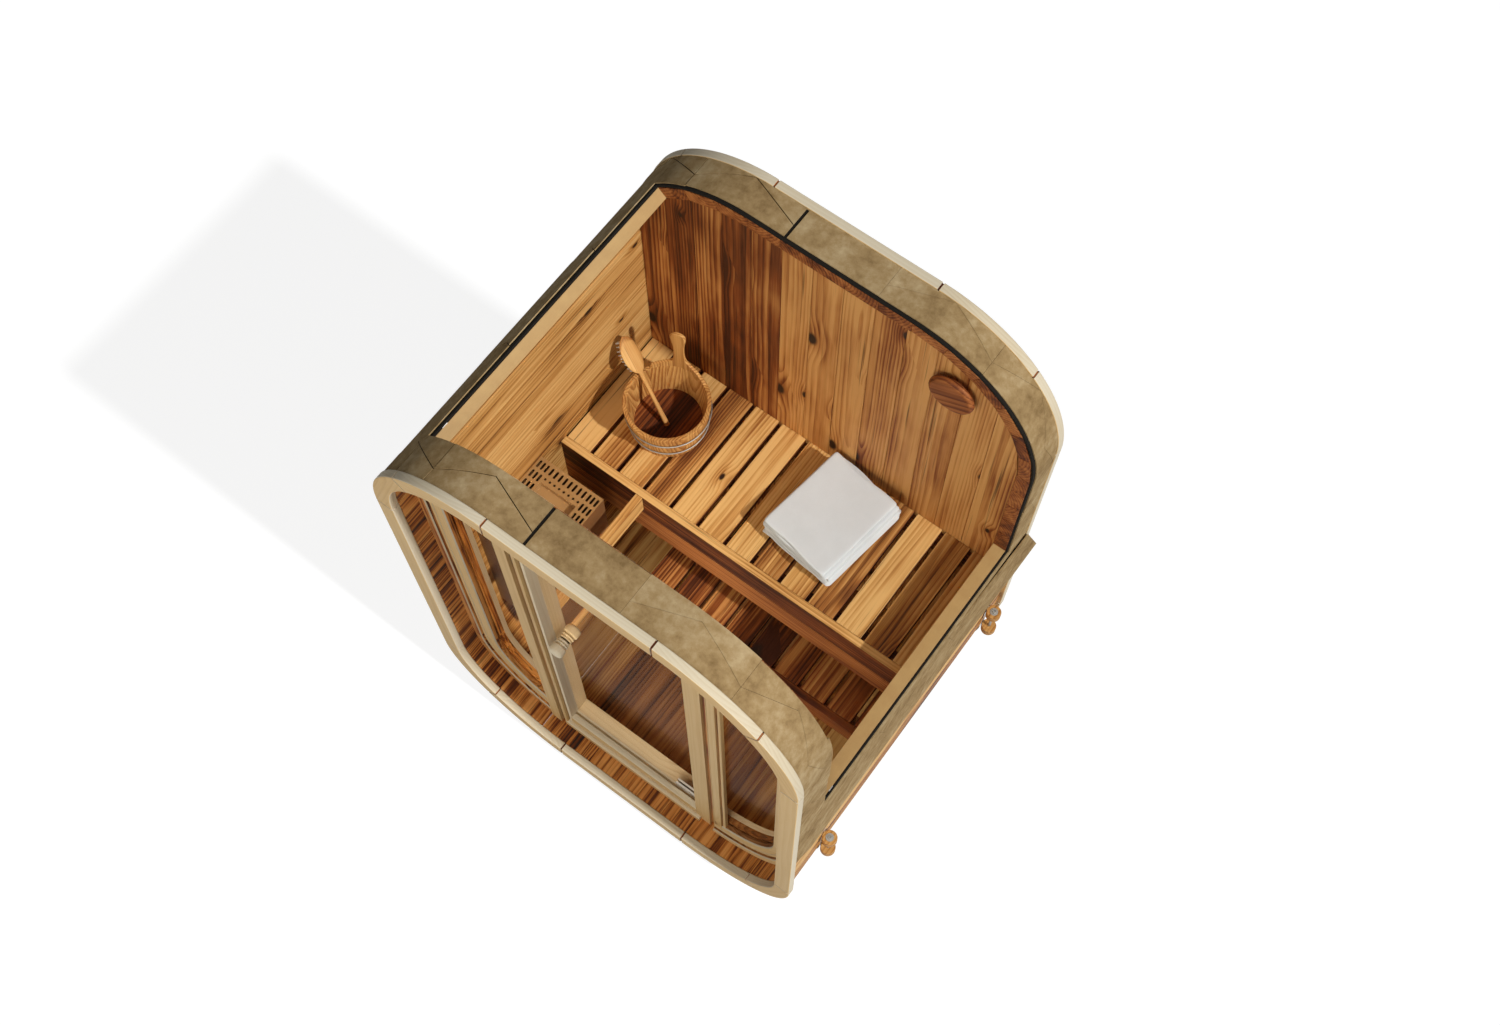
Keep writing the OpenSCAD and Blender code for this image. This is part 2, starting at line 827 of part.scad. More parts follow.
module slot_2d() {
    square([slot_w, slot_l - slot_w], center = true);
    for (s = [-1, 1]) translate([0, s * (slot_l - slot_w) / 2]) circle(d = slot_w);
}

// Slots in three columns beside the tray, and slots and round holes before and behind it.
module grille_2d() {
    first_row = -stove_d / 2 + slot_margin;
    for (r = [0:slot_rows - 1], s = [-1, 1], k = [1:side_slots])
        translate([s * (grille_mid_half + slot_mid + (k - 1) * slot_side), first_row + r * slot_row])
            slot_2d();
    for (s = [-1, 1], k = [0:mid_slots - 1]) {
        translate([k * slot_mid - grille_mid_half, s * (stove_d / 2 - slot_margin)]) slot_2d();
        translate([k * slot_mid - grille_mid_half, s * (stove_d / 2 - hole_back)]) circle(d = hole_d);
    }
}

module stove_top() {
    wall = sheet_t;
    placed() color("tan") translate([stove_mid_x, stove_mid_y, stove_top]) {
        translate([0, 0, -sheet_t]) linear_extrude(sheet_t) difference() {
            square([stove_w, stove_d], center = true);
            grille_2d();
            square([tray_w, tray_d], center = true);
        }
        translate([0, 0, -tray_h]) linear_extrude(tray_h) difference() {
            square([tray_w + fit, tray_d + fit], center = true);
            square([tray_w - 2 * wall, tray_d - 2 * wall], center = true);
        }
        translate([0, 0, -tray_h]) linear_extrude(wall) square([tray_w, tray_d], center = true);
    }
}

// Steel strap round the staves. The front one ends at the roof opening.
module band(y_mid, open) {
    difference() {
        along(y_mid - band_w / 2, y_mid + band_w / 2) ring(band_inset, band_inset + band_t);
        if (open) opening(0);
    }
}

module front_band() {
    placed() color("silver") band(band_front_y, true);
}

module rear_band() {
    placed() color("silver") band(band_rear_y, false);
}

// Round wooden blocks in pairs, drawn together by a bolt, on both sides of both bands.
module tensioners() {
    nut_h = 8;
    nut_d = 19;
    over = 22;
    placed() for (sx = [-1, 1], y = [band_front_y, band_rear_y]) translate([sx * block_x, y, block_z]) {
        color(thermo) for (z = [0, block_pitch]) translate([0, 0, z]) difference() {
            cylinder(d = block_d, h = block_h);
            translate([0, 0, -1]) cylinder(d = bolt_d + fit, h = block_h + 2);
        }
        color("silver") {
            translate([0, 0, -over]) cylinder(d = bolt_d, h = block_pitch + block_h + 2 * over);
            for (z = [-nut_h, block_pitch + block_h]) translate([0, 0, z])
                cylinder(d = nut_d, h = nut_h, $fn = 6);
        }
    }
}

function bucket_r(z) = bucket_foot_r + (bucket_top_r - bucket_foot_r) * z / bucket_h;

// Half width of the tall grip at a share of its rise: wide foot, slim neck, flared top.
function grip_half(t) =
    grip_neck / 2
    + (grip_foot - grip_neck) / 2 * max(0, 1 - t / 0.42) ^ 2
    + (grip_top - grip_neck) / 2 * max(0, (t - 0.5) / 0.4) ^ 2;

module grip_2d() {
    shaft = handle_rise - grip_top / 2;
    sides = [for (t = [-0.04:0.06:0.86]) [grip_half(t), bucket_h + shaft * t]];
    crown = [for (a = [0:20:80]) [grip_top / 2 * cos(a), bucket_h + shaft + grip_top / 2 * sin(a)]];
    right = concat([[sides[0].x, grip_z]], sides, crown);
    last = len(right) - 1;
    polygon(concat(right, [for (k = [last:-1:0]) [-right[k].x, right[k].y]]));
}

// Cone of the bucket's wall, drawn up to any height.
module bucket_cone(inset, z0, z1) {
    translate([0, 0, z0]) cylinder(r1 = bucket_r(z0) - inset, r2 = bucket_r(z1) - inset, h = z1 - z0);
}

module bucket() {
    grip_end = bucket_h + handle_rise;
    placed() color(thermo) translate([bucket_x, bucket_y, upper_top + seat]) {
        difference() {
            bucket_cone(0, 0, bucket_h);
            bucket_cone(bucket_t, bucket_floor_z, bucket_h + 1);
            bucket_cone(bucket_t, -1, bucket_floor_z - bucket_floor_t);
        }
        intersection() {
            translate([0, 0, grip_z]) difference() {
                cylinder(r = grip_r, h = grip_end - grip_z);
                translate([0, 0, -1]) cylinder(r = grip_r - grip_t, h = grip_end - grip_z + 2);
            }
            rotate([0, 0, grip_turn]) translate([0, 2 * bucket_top_r, 0]) rotate([90, 0, 0])
                linear_extrude(2 * bucket_top_r) grip_2d();
        }
    }
}

module bucket_hoops() {
    wire = 5;
    placed() color("silver") translate([bucket_x, bucket_y, upper_top]) for (z = [0.3, 0.72])
        translate([0, 0, z * bucket_h]) rotate_extrude()
            translate([bucket_r(z * bucket_h) + wire / 2 + fit, 0]) circle(d = wire, $fn = 24);
}

// Bath brush that stands in the bucket and leans on its rim.
module brush() {
    placed() translate([bucket_x + brush_foot.x, bucket_y + brush_foot.y, upper_top + brush_foot_z])
        rotate([0, 0, brush_heading]) rotate([0, brush_lean, 0]) {
            color(thermo) cylinder(d = stick_d, h = brush_l - head_l * 0.9);
            color(thermo) translate([-head_t / 2, 0, brush_l - head_l / 2]) rotate([0, 90, 0])
                linear_extrude(head_t) oval_2d(head_l, head_w);
            color("wheat") translate([head_t / 2, 0, brush_l - head_l / 2]) rotate([0, 90, 0])
                linear_extrude(bristle_l) oval_2d(head_l - stick_d, head_w - stick_d);
        }
}

module oval_2d(length, width) {
    square([length - width, width], center = true);
    for (s = [-1, 1]) translate([s * (length - width) / 2, 0]) circle(d = width);
}

module towel() {
    round_r = towel_h / 10;
    placed() color("white") translate([towel_x, towel_y, upper_top + fit]) rotate([0, 0, towel_turn])
        linear_extrude(towel_h) {
            square([towel_w - 2 * round_r, towel_l], center = true);
            square([towel_w, towel_l - 2 * round_r], center = true);
            for (sx = [-1, 1], sy = [-1, 1])
                translate([sx * (towel_w / 2 - round_r), sy * (towel_l / 2 - round_r)]) circle(round_r);
        }
}

module base_bearers() {
    placed() color("dimgray") for (y = [bearer_in, barrel_d - bearer_in - bearer_w])
        box(-corner_x, corner_x, y, y + bearer_w, -lift, rim_proud);
}

front_rim();
rear_rim();
floor_staves();
lower_left_corner_staves();
lower_right_corner_staves();
left_wall_staves();
right_wall_staves();
upper_left_corner_staves();
front_roof_staves();
front_right_staves();
rear_roof_staves();
rear_right_staves();
roof_felt();
roof_shingles();
left_window_frame();
right_window_frame();
door_sill();
door_head();
left_door_post();
right_door_post();
left_window_glass();
right_window_glass();
door_glass();
door_pivots();
door_knob();
back_wall();
vent_cover();
upper_bench_slats();
upper_bench_fascia();
upper_bench_bearers();
lower_bench_slats();
lower_bench_rail();
lower_bench_supports();
guard_rail();
stove_casing();
stove_top();
front_band();
rear_band();
tensioners();
bucket();
bucket_hoops();
brush();
towel();
base_bearers();
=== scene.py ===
import math
import random
import bmesh
import bpy
from mathutils import Matrix, Vector


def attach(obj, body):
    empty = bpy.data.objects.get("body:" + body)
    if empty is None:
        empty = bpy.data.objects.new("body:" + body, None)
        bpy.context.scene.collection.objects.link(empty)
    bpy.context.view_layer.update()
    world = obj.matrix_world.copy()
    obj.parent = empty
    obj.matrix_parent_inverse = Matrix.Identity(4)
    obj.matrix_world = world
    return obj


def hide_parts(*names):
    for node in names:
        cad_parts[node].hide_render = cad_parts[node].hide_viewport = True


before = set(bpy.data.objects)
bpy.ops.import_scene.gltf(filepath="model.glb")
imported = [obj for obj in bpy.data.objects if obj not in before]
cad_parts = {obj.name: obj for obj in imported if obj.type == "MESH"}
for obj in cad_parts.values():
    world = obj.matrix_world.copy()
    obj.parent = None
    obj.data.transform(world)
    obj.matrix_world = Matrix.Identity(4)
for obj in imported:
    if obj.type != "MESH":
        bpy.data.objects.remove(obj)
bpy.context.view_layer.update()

draw = random.Random(41)
up = Vector((0, 0, 1))
print("frame loaded,", len(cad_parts), "nodes")

# Metres. Depth y counts from the front rim face, height z from the rim bottom.
barrel = {
    "width": 1.5, "height": 2.211, "depth": 1.312, "corner": 0.472, "lift": 0.045,
    "proud": 0.015, "stave": 0.045, "flatStaves": 5, "sideStaves": 12, "cornerStaves": 6,
    "porch": 0.196, "backWall": 1.162, "benchFront": 0.667,
    "openFront": 0.165, "openBack": 1.16, "openStaves": 7,
}
cornerR = barrel["corner"]
cornerX = barrel["width"] / 2 - cornerR
lowZ = cornerR
highZ = barrel["height"] - cornerR
sideLength = highZ - lowZ
wallInset = barrel["proud"] + barrel["stave"]
innerX = barrel["width"] / 2 - wallInset
quarterArc = cornerR * math.pi / 2
xAxis = Vector((1, 0, 0))
yAxis = Vector((0, 1, 0))
seat = 0.0003  # hair gap between pieces that touch


def at(x, y, z):
    return Vector((x, y - barrel["depth"] / 2, z + barrel["lift"]))


# The rounded-square outline as eight runs, up the right side first: a straight, then a corner, and so on.
def stationAt(turn):
    run = int(turn % 8)
    share = turn % 8 - run
    if run % 2:
        a = math.radians(90 * (run // 2 + share))
        side = 1 if run in (1, 7) else -1
        return (cornerX * side, highZ if run < 4 else lowZ, math.cos(a), math.sin(a))
    straights = {
        0: (cornerX, lowZ + share * sideLength, 1, 0),
        2: (cornerX - share * 2 * cornerX, highZ, 0, 1),
        4: (-cornerX, highZ - share * sideLength, -1, 0),
        6: (-cornerX + share * 2 * cornerX, lowZ, 0, -1),
    }
    return straights[run]


def onOutline(turn, inset, y):
    baseX, baseZ, nx, nz = stationAt(turn)
    reach = cornerR - inset
    return at(baseX + nx * reach, y, baseZ + nz * reach)


def runLength(turn):
    lengths = (sideLength, quarterArc, 2 * cornerX, quarterArc)
    return lengths[int(turn % 4)]


# Turn for a distance along the outline from the middle of the top, positive to the right.
def turnOf(along):
    side = abs(along)
    if side <= cornerX:
        return 2 + (cornerX - along) / (2 * cornerX)
    arc = (side - cornerX) / quarterArc
    if arc > 1:
        arc = 1 + (side - cornerX - quarterArc) / sideLength
    return 2 - arc if along > 0 else 3 + arc


# Height of the outline's inside at a sideways place, for boards that end in the corners.
def archZ(x, inset, top):
    over = max(0.0, abs(x) - cornerX)
    rise = math.sqrt(max(0.0, (cornerR - inset) ** 2 - over ** 2))
    return highZ + rise if top else lowZ - rise


def newStock():
    return {"verts": [], "faces": [], "grain": [], "board": [], "finish": []}


def loft(loops):
    bm = bmesh.new()
    rows = [[bm.verts.new(p) for p in loop] for loop in loops]
    count = len(loops[0])
    for a, b in zip(rows, rows[1:]):
        for k in range(count):
            bm.faces.new((a[k], a[(k + 1) % count], b[(k + 1) % count], b[k]))
    bm.faces.new(rows[0])
    bm.faces.new(list(reversed(rows[-1])))
    return bm


# Profile points are (radius, height); a radius of 0 closes the end.
def lathe(profile, place, steps=48):
    bm = bmesh.new()
    rings = []
    for radius, height in profile:
        if radius < 1e-6:
            rings.append([bm.verts.new(place @ Vector((0, 0, height)))])
            continue
        angles = [2 * math.pi * k / steps for k in range(steps)]
        rings.append([bm.verts.new(place @ Vector((radius * math.cos(a), radius * math.sin(a), height)))
                      for a in angles])
    for a, b in zip(rings, rings[1:]):
        for k in range(steps):
            j = (k + 1) % steps
            corners = [a[k % len(a)], a[j % len(a)], b[j % len(b)], b[k % len(b)]]
            bm.faces.new(list(dict.fromkeys(corners)))
    return bm


# Moves one solid into a stock of pieces, with its own grain coordinates and its own random draws.
def addSolid(stock, bm, origin, along, across, bevel=0.0, choose=None, cutY=None, shade=None):
    bmesh.ops.recalc_face_normals(bm, faces=bm.faces)
    if bevel:
        bmesh.ops.bevel(bm, geom=bm.edges[:], offset=bevel, segments=2, affect="EDGES",
                        clamp_overlap=True, profile=0.5)
    if cutY is not None:
        bmesh.ops.bisect_plane(bm, geom=bm.verts[:] + bm.edges[:] + bm.faces[:], dist=1e-6,
                               plane_co=at(0, cutY, 0), plane_no=yAxis)
    u = along.normalized()
    v = (across - across.dot(u) * u).normalized()
    w = u.cross(v)
    shift = draw.uniform(0, 40)
    tone = (draw.random() if shade is None else shade, draw.random(), draw.random())
    first = len(stock["verts"])
    bm.verts.index_update()
    for vert in bm.verts:
        p = vert.co - origin
        stock["verts"].append(tuple(vert.co))
        stock["grain"].append((p.dot(u) + shift, p.dot(v), p.dot(w)))
        stock["board"].append(tone)
    for face in bm.faces:
        stock["faces"].append([first + vert.index for vert in face.verts])
        stock["finish"].append(choose(face.calc_center_median(), face.normal) if choose else 0)
    bm.free()


# A straight board between two corners, grain along the given axis.
def addBoard(stock, low, high, axis, bevel=0.002, choose=None):
    (x0, y0, z0), (x1, y1, z1) = low, high
    loops = [[at(x, y0, z0), at(x, y1, z0), at(x, y1, z1), at(x, y0, z1)] for x in (x0, x1)]
    along = Vector([1.0 if k == "xyz".index(axis) else 0.0 for k in range(3)])
    sizes = {"x": x1 - x0, "y": y1 - y0, "z": z1 - z0}
    wide = max((k for k in "xyz" if k != axis), key=lambda k: sizes[k])
    across = Vector([1.0 if k == "xyz".index(wide) else 0.0 for k in range(3)])
    middle = at((x0 + x1) / 2, (y0 + y1) / 2, (z0 + z1) / 2)
    addSolid(stock, loft(loops), middle, along, across, bevel, choose=choose)


def makePiece(name, stock, finishes, nodes=(), body="barrel", sharp=38):
    mesh = bpy.data.meshes.new(name)
    mesh.from_pydata(stock["verts"], [], stock["faces"])
    for key in ("grain", "board"):
        layer = mesh.attributes.new(key, "FLOAT_VECTOR", "POINT")
        layer.data.foreach_set("vector", [n for row in stock[key] for n in row])
    for finish in finishes:
        mesh.materials.append(finish)
    mesh.polygons.foreach_set("material_index", stock["finish"])
    mesh.shade_smooth()
    mesh.set_sharp_from_angle(angle=math.radians(sharp))
    piece = bpy.data.objects.new(name, mesh)
    bpy.context.collection.objects.link(piece)
    weighted = piece.modifiers.new("evenShading", "WEIGHTED_NORMAL")
    weighted.keep_sharp = True
    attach(piece, body)
    if nodes:
        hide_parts(*nodes)
    return piece


# Gives a solid that stays as the frame has it a finish of its own.
def dressNode(name, finish):
    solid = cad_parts[name]
    solid.data.materials.clear()
    solid.data.materials.append(finish)
    return solid


# Shader helpers: a value is a socket to link or a plain number to set.
def plug(tree, value, socket):
    if isinstance(value, bpy.types.NodeSocket):
        tree.links.new(value, socket)
    else:
        socket.default_value = value


def addNode(tree, kind, **settings):
    node = tree.nodes.new("ShaderNode" + kind)
    for key, value in settings.items():
        setattr(node, key, value)
    return node


def calc(tree, operation, a, b=0.0, clamp=False):
    node = addNode(tree, "Math", operation=operation, use_clamp=clamp)
    plug(tree, a, node.inputs[0])
    plug(tree, b, node.inputs[1])
    return node.outputs[0]


def fade(tree, value, low, high, toLow=0.0, toHigh=1.0):
    node = addNode(tree, "MapRange", interpolation_type="SMOOTHSTEP")
    settings = {"Value": value, "From Min": low, "From Max": high, "To Min": toLow, "To Max": toHigh}
    for key, item in settings.items():
        plug(tree, item, node.inputs[key])
    return node.outputs[0]


def blend(tree, share, a, b):
    node = addNode(tree, "Mix", data_type="RGBA")
    plug(tree, share, node.inputs[0])
    for value, socket in ((a, node.inputs[6]), (b, node.inputs[7])):
        plug(tree, value if isinstance(value, bpy.types.NodeSocket) else (*value, 1.0), socket)
    return node.outputs[2]


def ramp(tree, share, stops):
    node = addNode(tree, "ValToRGB")
    while len(node.color_ramp.elements) < len(stops):
        node.color_ramp.elements.new(0.5)
    for element, (place, colour) in zip(node.color_ramp.elements, stops):
        element.position = place
        element.color = (*colour, 1.0)
    plug(tree, share, node.inputs[0])
    return node.outputs[0]


def noise(tree, vector, scale, detail=3.0, rough=0.55):
    node = addNode(tree, "TexNoise")
    plug(tree, vector, node.inputs["Vector"])
    node.inputs["Scale"].default_value = scale
    node.inputs["Detail"].default_value = detail
    node.inputs["Roughness"].default_value = rough
    return node.outputs[0]


def split(tree, vector):
    node = addNode(tree, "SeparateXYZ")
    plug(tree, vector, node.inputs[0])
    return node.outputs


def stretch(tree, vector, scale):
    node = addNode(tree, "VectorMath", operation="MULTIPLY")
    plug(tree, vector, node.inputs[0])
    node.inputs[1].default_value = scale
    return node.outputs[0]


def attribute(tree, name):
    return addNode(tree, "Attribute", attribute_name=name).outputs["Vector"]


def objectSpace(tree):
    return addNode(tree, "TexCoord").outputs["Object"]


def newFinish(name, **sockets):
    finish = bpy.data.materials.new(name)
    finish.use_nodes = True
    tree = finish.node_tree
    shader = tree.nodes["Principled BSDF"]
    for key, value in sockets.items():
        shader.inputs[key.replace("_", " ")].default_value = value
    return finish, tree, shader.inputs


def addBump(tree, inputs, height, depth, strength=1.0):
    node = addNode(tree, "Bump")
    node.inputs["Strength"].default_value = strength
    node.inputs["Distance"].default_value = depth
    plug(tree, height, node.inputs["Height"])
    tree.links.new(node.outputs[0], inputs["Normal"])


# Planed boards: growth rings round a pith that differs for each board, fibres, dark bands and knots.
def timber(name, look):
    finish, tree, inputs = newFinish(name, Specular_IOR_Level=0.22)
    grain = attribute(tree, "grain")
    u, v, w = split(tree, grain)
    r1, r2, r3 = split(tree, attribute(tree, "board"))
    knots = addNode(tree, "TexVoronoi", voronoi_dimensions="2D")
    plug(tree, stretch(tree, grain, (look["knotsAlong"], look["knotsAcross"], 0)), knots.inputs["Vector"])
    knots.inputs["Scale"].default_value = 1.0
    knots.inputs["Randomness"].default_value = 0.9
    cell = split(tree, knots.outputs["Color"])
    near = knots.outputs["Distance"]
    present = calc(tree, "LESS_THAN", cell[0], look["knotShare"])
    size = calc(tree, "MULTIPLY_ADD", cell[1], 0.11)
    tree.nodes[-1].inputs[2].default_value = 0.05
    core = calc(tree, "MULTIPLY", present, fade(tree, near, size, calc(tree, "MULTIPLY", size, 0.45)))
    ringed = calc(tree, "MULTIPLY", present, fade(tree, near, calc(tree, "MULTIPLY", size, 4.0), 0.0))
    wander = noise(tree, stretch(tree, grain, (0.8, 5, 5)), 1.0, 2.0)
    pithV = calc(tree, "ADD", v, calc(tree, "MULTIPLY", calc(tree, "SUBTRACT", r2, 0.5), look["pithSpread"]))
    pithW = calc(tree, "ADD", w, calc(tree, "ADD", calc(tree, "MULTIPLY", r3, 0.08), 0.03))
    radius = calc(tree, "SQRT", calc(tree, "ADD", calc(tree, "MULTIPLY", pithV, pithV),
                                     calc(tree, "MULTIPLY", pithW, pithW)))
    radius = calc(tree, "ADD", radius, calc(tree, "MULTIPLY", wander, look["wander"]))
    radius = calc(tree, "ADD", radius, calc(tree, "MULTIPLY", ringed, look["knotBend"]))
    ring = calc(tree, "FRACT", calc(tree, "DIVIDE", radius, look["ringWidth"]))
    late = calc(tree, "MULTIPLY", fade(tree, ring, 0.2, 0.9), fade(tree, ring, 1.0, 0.92))
    fibre = noise(tree, stretch(tree, grain, (5, 260, 260)), 1.0, 3.0)
    band = noise(tree, stretch(tree, grain, (0.9, 34, 34)), 1.0, 4.0, 0.6)
    cloud = noise(tree, stretch(tree, grain, (2.4, 9, 9)), 1.0, 3.0)
    parts = ((late, 0.35, look["rings"]), (fibre, 0.5, look["fibres"]), (band, 0.5, look["bands"]),
             (cloud, 0.5, look["clouds"]), (r1, 0.5, look["boards"]))
    tone = look["tone"]
    for value, middle, amount in parts:
        tone = calc(tree, "ADD", tone, calc(tree, "MULTIPLY", calc(tree, "SUBTRACT", value, middle), amount))
    tone = calc(tree, "ADD", tone, calc(tree, "MULTIPLY", ringed, look["knotShade"]), clamp=True)
    colour = ramp(tree, tone, look["stops"])
    colour = blend(tree, core, colour, look["knotColour"])
    streak = noise(tree, stretch(tree, grain, (1.6, 120, 120)), 1.0, 2.0)
    dark = calc(tree, "MULTIPLY", fade(tree, streak, look["streakFrom"], look["streakFrom"] + 0.12), 0.75)
    colour = blend(tree, dark, colour, look["knotColour"])
    tree.links.new(colour, inputs["Base Color"])
    rough = calc(tree, "ADD", look["rough"], calc(tree, "MULTIPLY", fibre, 0.2))
    tree.links.new(rough, inputs["Roughness"])
    addBump(tree, inputs, calc(tree, "SUBTRACT", fibre, calc(tree, "MULTIPLY", late, 0.8)), 0.0006, 0.5)
    return finish


planed = {
    "knotsAlong": 3.2, "knotsAcross": 6.0, "knotShare": 0.3, "knotBend": 0.014, "knotShade": 0.3,
    "knotColour": (0.02, 0.007, 0.002), "pithSpread": 0.16, "wander": 0.03, "ringWidth": 0.011,
    "rings": 0.3, "fibres": 0.5, "bands": 1.6, "clouds": 1.1, "boards": 0.4, "tone": 0.4,
    "streakFrom": 0.63, "rough": 0.5,
}
honeyStops = (
    (0.0, (0.7, 0.42, 0.15)), (0.33, (0.55, 0.28, 0.08)),
    (0.66, (0.31, 0.115, 0.025)), (1.0, (0.09, 0.024, 0.005)),
)
wallStops = (
    (0.0, (0.68, 0.42, 0.16)), (0.4, (0.54, 0.29, 0.09)),
    (0.75, (0.38, 0.17, 0.04)), (1.0, (0.12, 0.04, 0.008)),
)
umberStops = (
    (0.0, (0.68, 0.35, 0.11)), (0.36, (0.5, 0.21, 0.055)),
    (0.66, (0.22, 0.056, 0.01)), (1.0, (0.05, 0.011, 0.002)),
)
# Streaky boards darkened with painted shade, for the porch's inner faces and the left window's reveal.
shadedEmberStops = (
    (0.0, (0.78, 0.36, 0.1)), (0.38, (0.54, 0.19, 0.037)),
    (0.62, (0.16, 0.038, 0.006)), (1.0, (0.012, 0.004, 0.002)),
)
russetStops = (
    (0.0, (0.46, 0.17, 0.045)), (0.4, (0.27, 0.08, 0.018)),
    (0.7, (0.12, 0.028, 0.006)), (1.0, (0.03, 0.007, 0.002)),
)
duskStops = (
    (0.0, (0.46, 0.21, 0.07)), (0.4, (0.31, 0.125, 0.037)),
    (0.7, (0.16, 0.06, 0.017)), (1.0, (0.03, 0.012, 0.005)),
)
spruceStops = ((0.0, (0.74, 0.67, 0.53)), (0.5, (0.67, 0.57, 0.4)), (1.0, (0.51, 0.37, 0.2)))
# Spruce with painted shade, for faces turned away from the light: rim and frame fronts, rail fronts and the
# posts.
shadedSpruceStops = ((0.0, (0.76, 0.55, 0.28)), (0.5, (0.66, 0.44, 0.19)), (1.0, (0.45, 0.25, 0.08)))
# Paler spruce with painted light, for the sill and head, the knob and the left jamb strip.
litSpruceStops = ((0.0, (0.9, 0.8, 0.6)), (0.5, (0.84, 0.71, 0.49)), (1.0, (0.6, 0.42, 0.22)))
mellow = {
    "knotShare": 0.05, "rings": 0.16, "fibres": 0.14, "bands": 0.4, "clouds": 0.35, "boards": 0.25,
    "tone": 0.4, "streakFrom": 0.86, "knotColour": (0.3, 0.15, 0.05), "ringWidth": 0.009,
}
honeyTimber = timber("honeyTimber", {**planed, "stops": honeyStops, "tone": 0.3, "boards": 0.5})
wallTimber = timber("wallTimber", {
    **planed, "stops": wallStops, "tone": 0.45, "boards": 0.2, "bands": 1.4, "streakFrom": 0.68,
})
umberTimber = timber("umberTimber", {
    **planed, "stops": umberStops, "boards": 0.8, "tone": 0.42, "knotShare": 0.4, "bands": 1.2,
    "fibres": 0.35,
})
# Darker umber for the lower slats: partly their own wood, partly painted shade under the upper bench.
shadedLowerTimber = timber("shadedLowerTimber", {**planed, "stops": umberStops, "boards": 0.6, "tone": 0.7})
russetTimber = timber("russetTimber", {**planed, "stops": russetStops, "boards": 0.5})
# Darkest russet, used only as painted shade: slat sides, the upper fascia front and the bucket's floor.
paintedShadeTimber = timber("paintedShadeTimber", {
    **planed, "stops": russetStops, "boards": 0.2, "tone": 0.78, "knotShare": 0.1,
})
shadedEmberTimber = timber("shadedEmberTimber", {
    **planed, "stops": shadedEmberStops, "clouds": 1.9, "bands": 2.0, "boards": 0.15, "fibres": 0.7,
    "streakFrom": 0.57,
})
duskTimber = timber("duskTimber", {**planed, "stops": duskStops, "boards": 0.5})
spruceTimber = timber("spruceTimber", {**planed, **mellow, "stops": spruceStops})
shadedSpruceTimber = timber("shadedSpruceTimber", {**planed, **mellow, "stops": shadedSpruceStops})
litSpruceTimber = timber("litSpruceTimber", {**planed, **mellow, "stops": litSpruceStops, "bands": 0.6})
blockTimber = timber("blockTimber", {
    **planed, "stops": wallStops, "tone": 0.6, "bands": 0.6, "boards": 0.1, "knotShare": 0.0,
})
bucketTimber = timber("bucketTimber", {
    **planed, "stops": honeyStops, "knotShare": 0.0, "ringWidth": 0.009, "wander": 0.05, "rings": 0.3,
    "tone": 0.44, "bands": 0.5, "clouds": 0.4, "boards": 0.16, "streakFrom": 0.9,
})


# Sawn faces round the roof opening: even tan with a faint saw texture.
def sawnFace():
    finish, tree, inputs = newFinish("sawnFace", Roughness=0.62)
    place = objectSpace(tree)
    mottle = noise(tree, place, 22.0, 3.0)
    saw = noise(tree, stretch(tree, place, (60, 8, 60)), 8.0, 2.0)
    share = calc(tree, "ADD", calc(tree, "MULTIPLY", mottle, 0.7), calc(tree, "MULTIPLY", saw, 0.3))
    colour = ramp(tree, share, ((0.3, (0.48, 0.3, 0.11)), (0.75, (0.41, 0.24, 0.084))))
    tree.links.new(colour, inputs["Base Color"])
    addBump(tree, inputs, saw, 0.0004, 0.4)
    return finish


sawnTan = sawnFace()


# Mineral-coated bitumen shingle: clouded olive with fine grit, a little different for each tab.
def shingleGrit():
    finish, tree, inputs = newFinish("shingleGrit", Roughness=0.95, Specular_IOR_Level=0.2)
    place = objectSpace(tree)
    cloud = noise(tree, place, 9.0, 5.0, 0.62)
    patch = noise(tree, place, 38.0, 4.0, 0.6)
    grit = noise(tree, place, 900.0, 2.0)
    tab = split(tree, attribute(tree, "board"))[0]
    tone = 0.5
    for value, amount in ((cloud, 1.0), (patch, 0.8), (grit, 0.35), (tab, 0.2)):
        tone = calc(tree, "ADD", tone, calc(tree, "MULTIPLY", calc(tree, "SUBTRACT", value, 0.5), amount))
    stops = ((0.15, (0.205, 0.124, 0.048)), (0.5, (0.37, 0.248, 0.112)), (0.9, (0.55, 0.42, 0.24)))
    colour = ramp(tree, tone, stops)
    tree.links.new(colour, inputs["Base Color"])
    addBump(tree, inputs, calc(tree, "ADD", grit, calc(tree, "MULTIPLY", patch, 0.8)), 0.0012, 0.7)
    return finish


def feltBlack():
    finish, tree, inputs = newFinish("feltBlack", Roughness=0.95, Specular_IOR_Level=0.08)
    fuzz = noise(tree, objectSpace(tree), 420.0, 4.0)
    colour = ramp(tree, fuzz, ((0.3, (0.006, 0.005, 0.004)), (0.8, (0.03, 0.026, 0.021))))
    tree.links.new(colour, inputs["Base Color"])
    addBump(tree, inputs, fuzz, 0.001, 0.6)
    return finish


def bronzeGlass():
    finish, tree, inputs = newFinish("bronzeGlass", IOR=1.012, Transmission_Weight=1.0)
    smear = noise(tree, objectSpace(tree), 3.0, 2.0)
    colour = ramp(tree, smear, ((0.3, (0.88, 0.78, 0.64)), (0.8, (0.92, 0.83, 0.7))))
    tree.links.new(colour, inputs["Base Color"])
    tree.links.new(fade(tree, smear, 0.35, 0.8, 0.0, 0.02), inputs["Roughness"])
    return finish


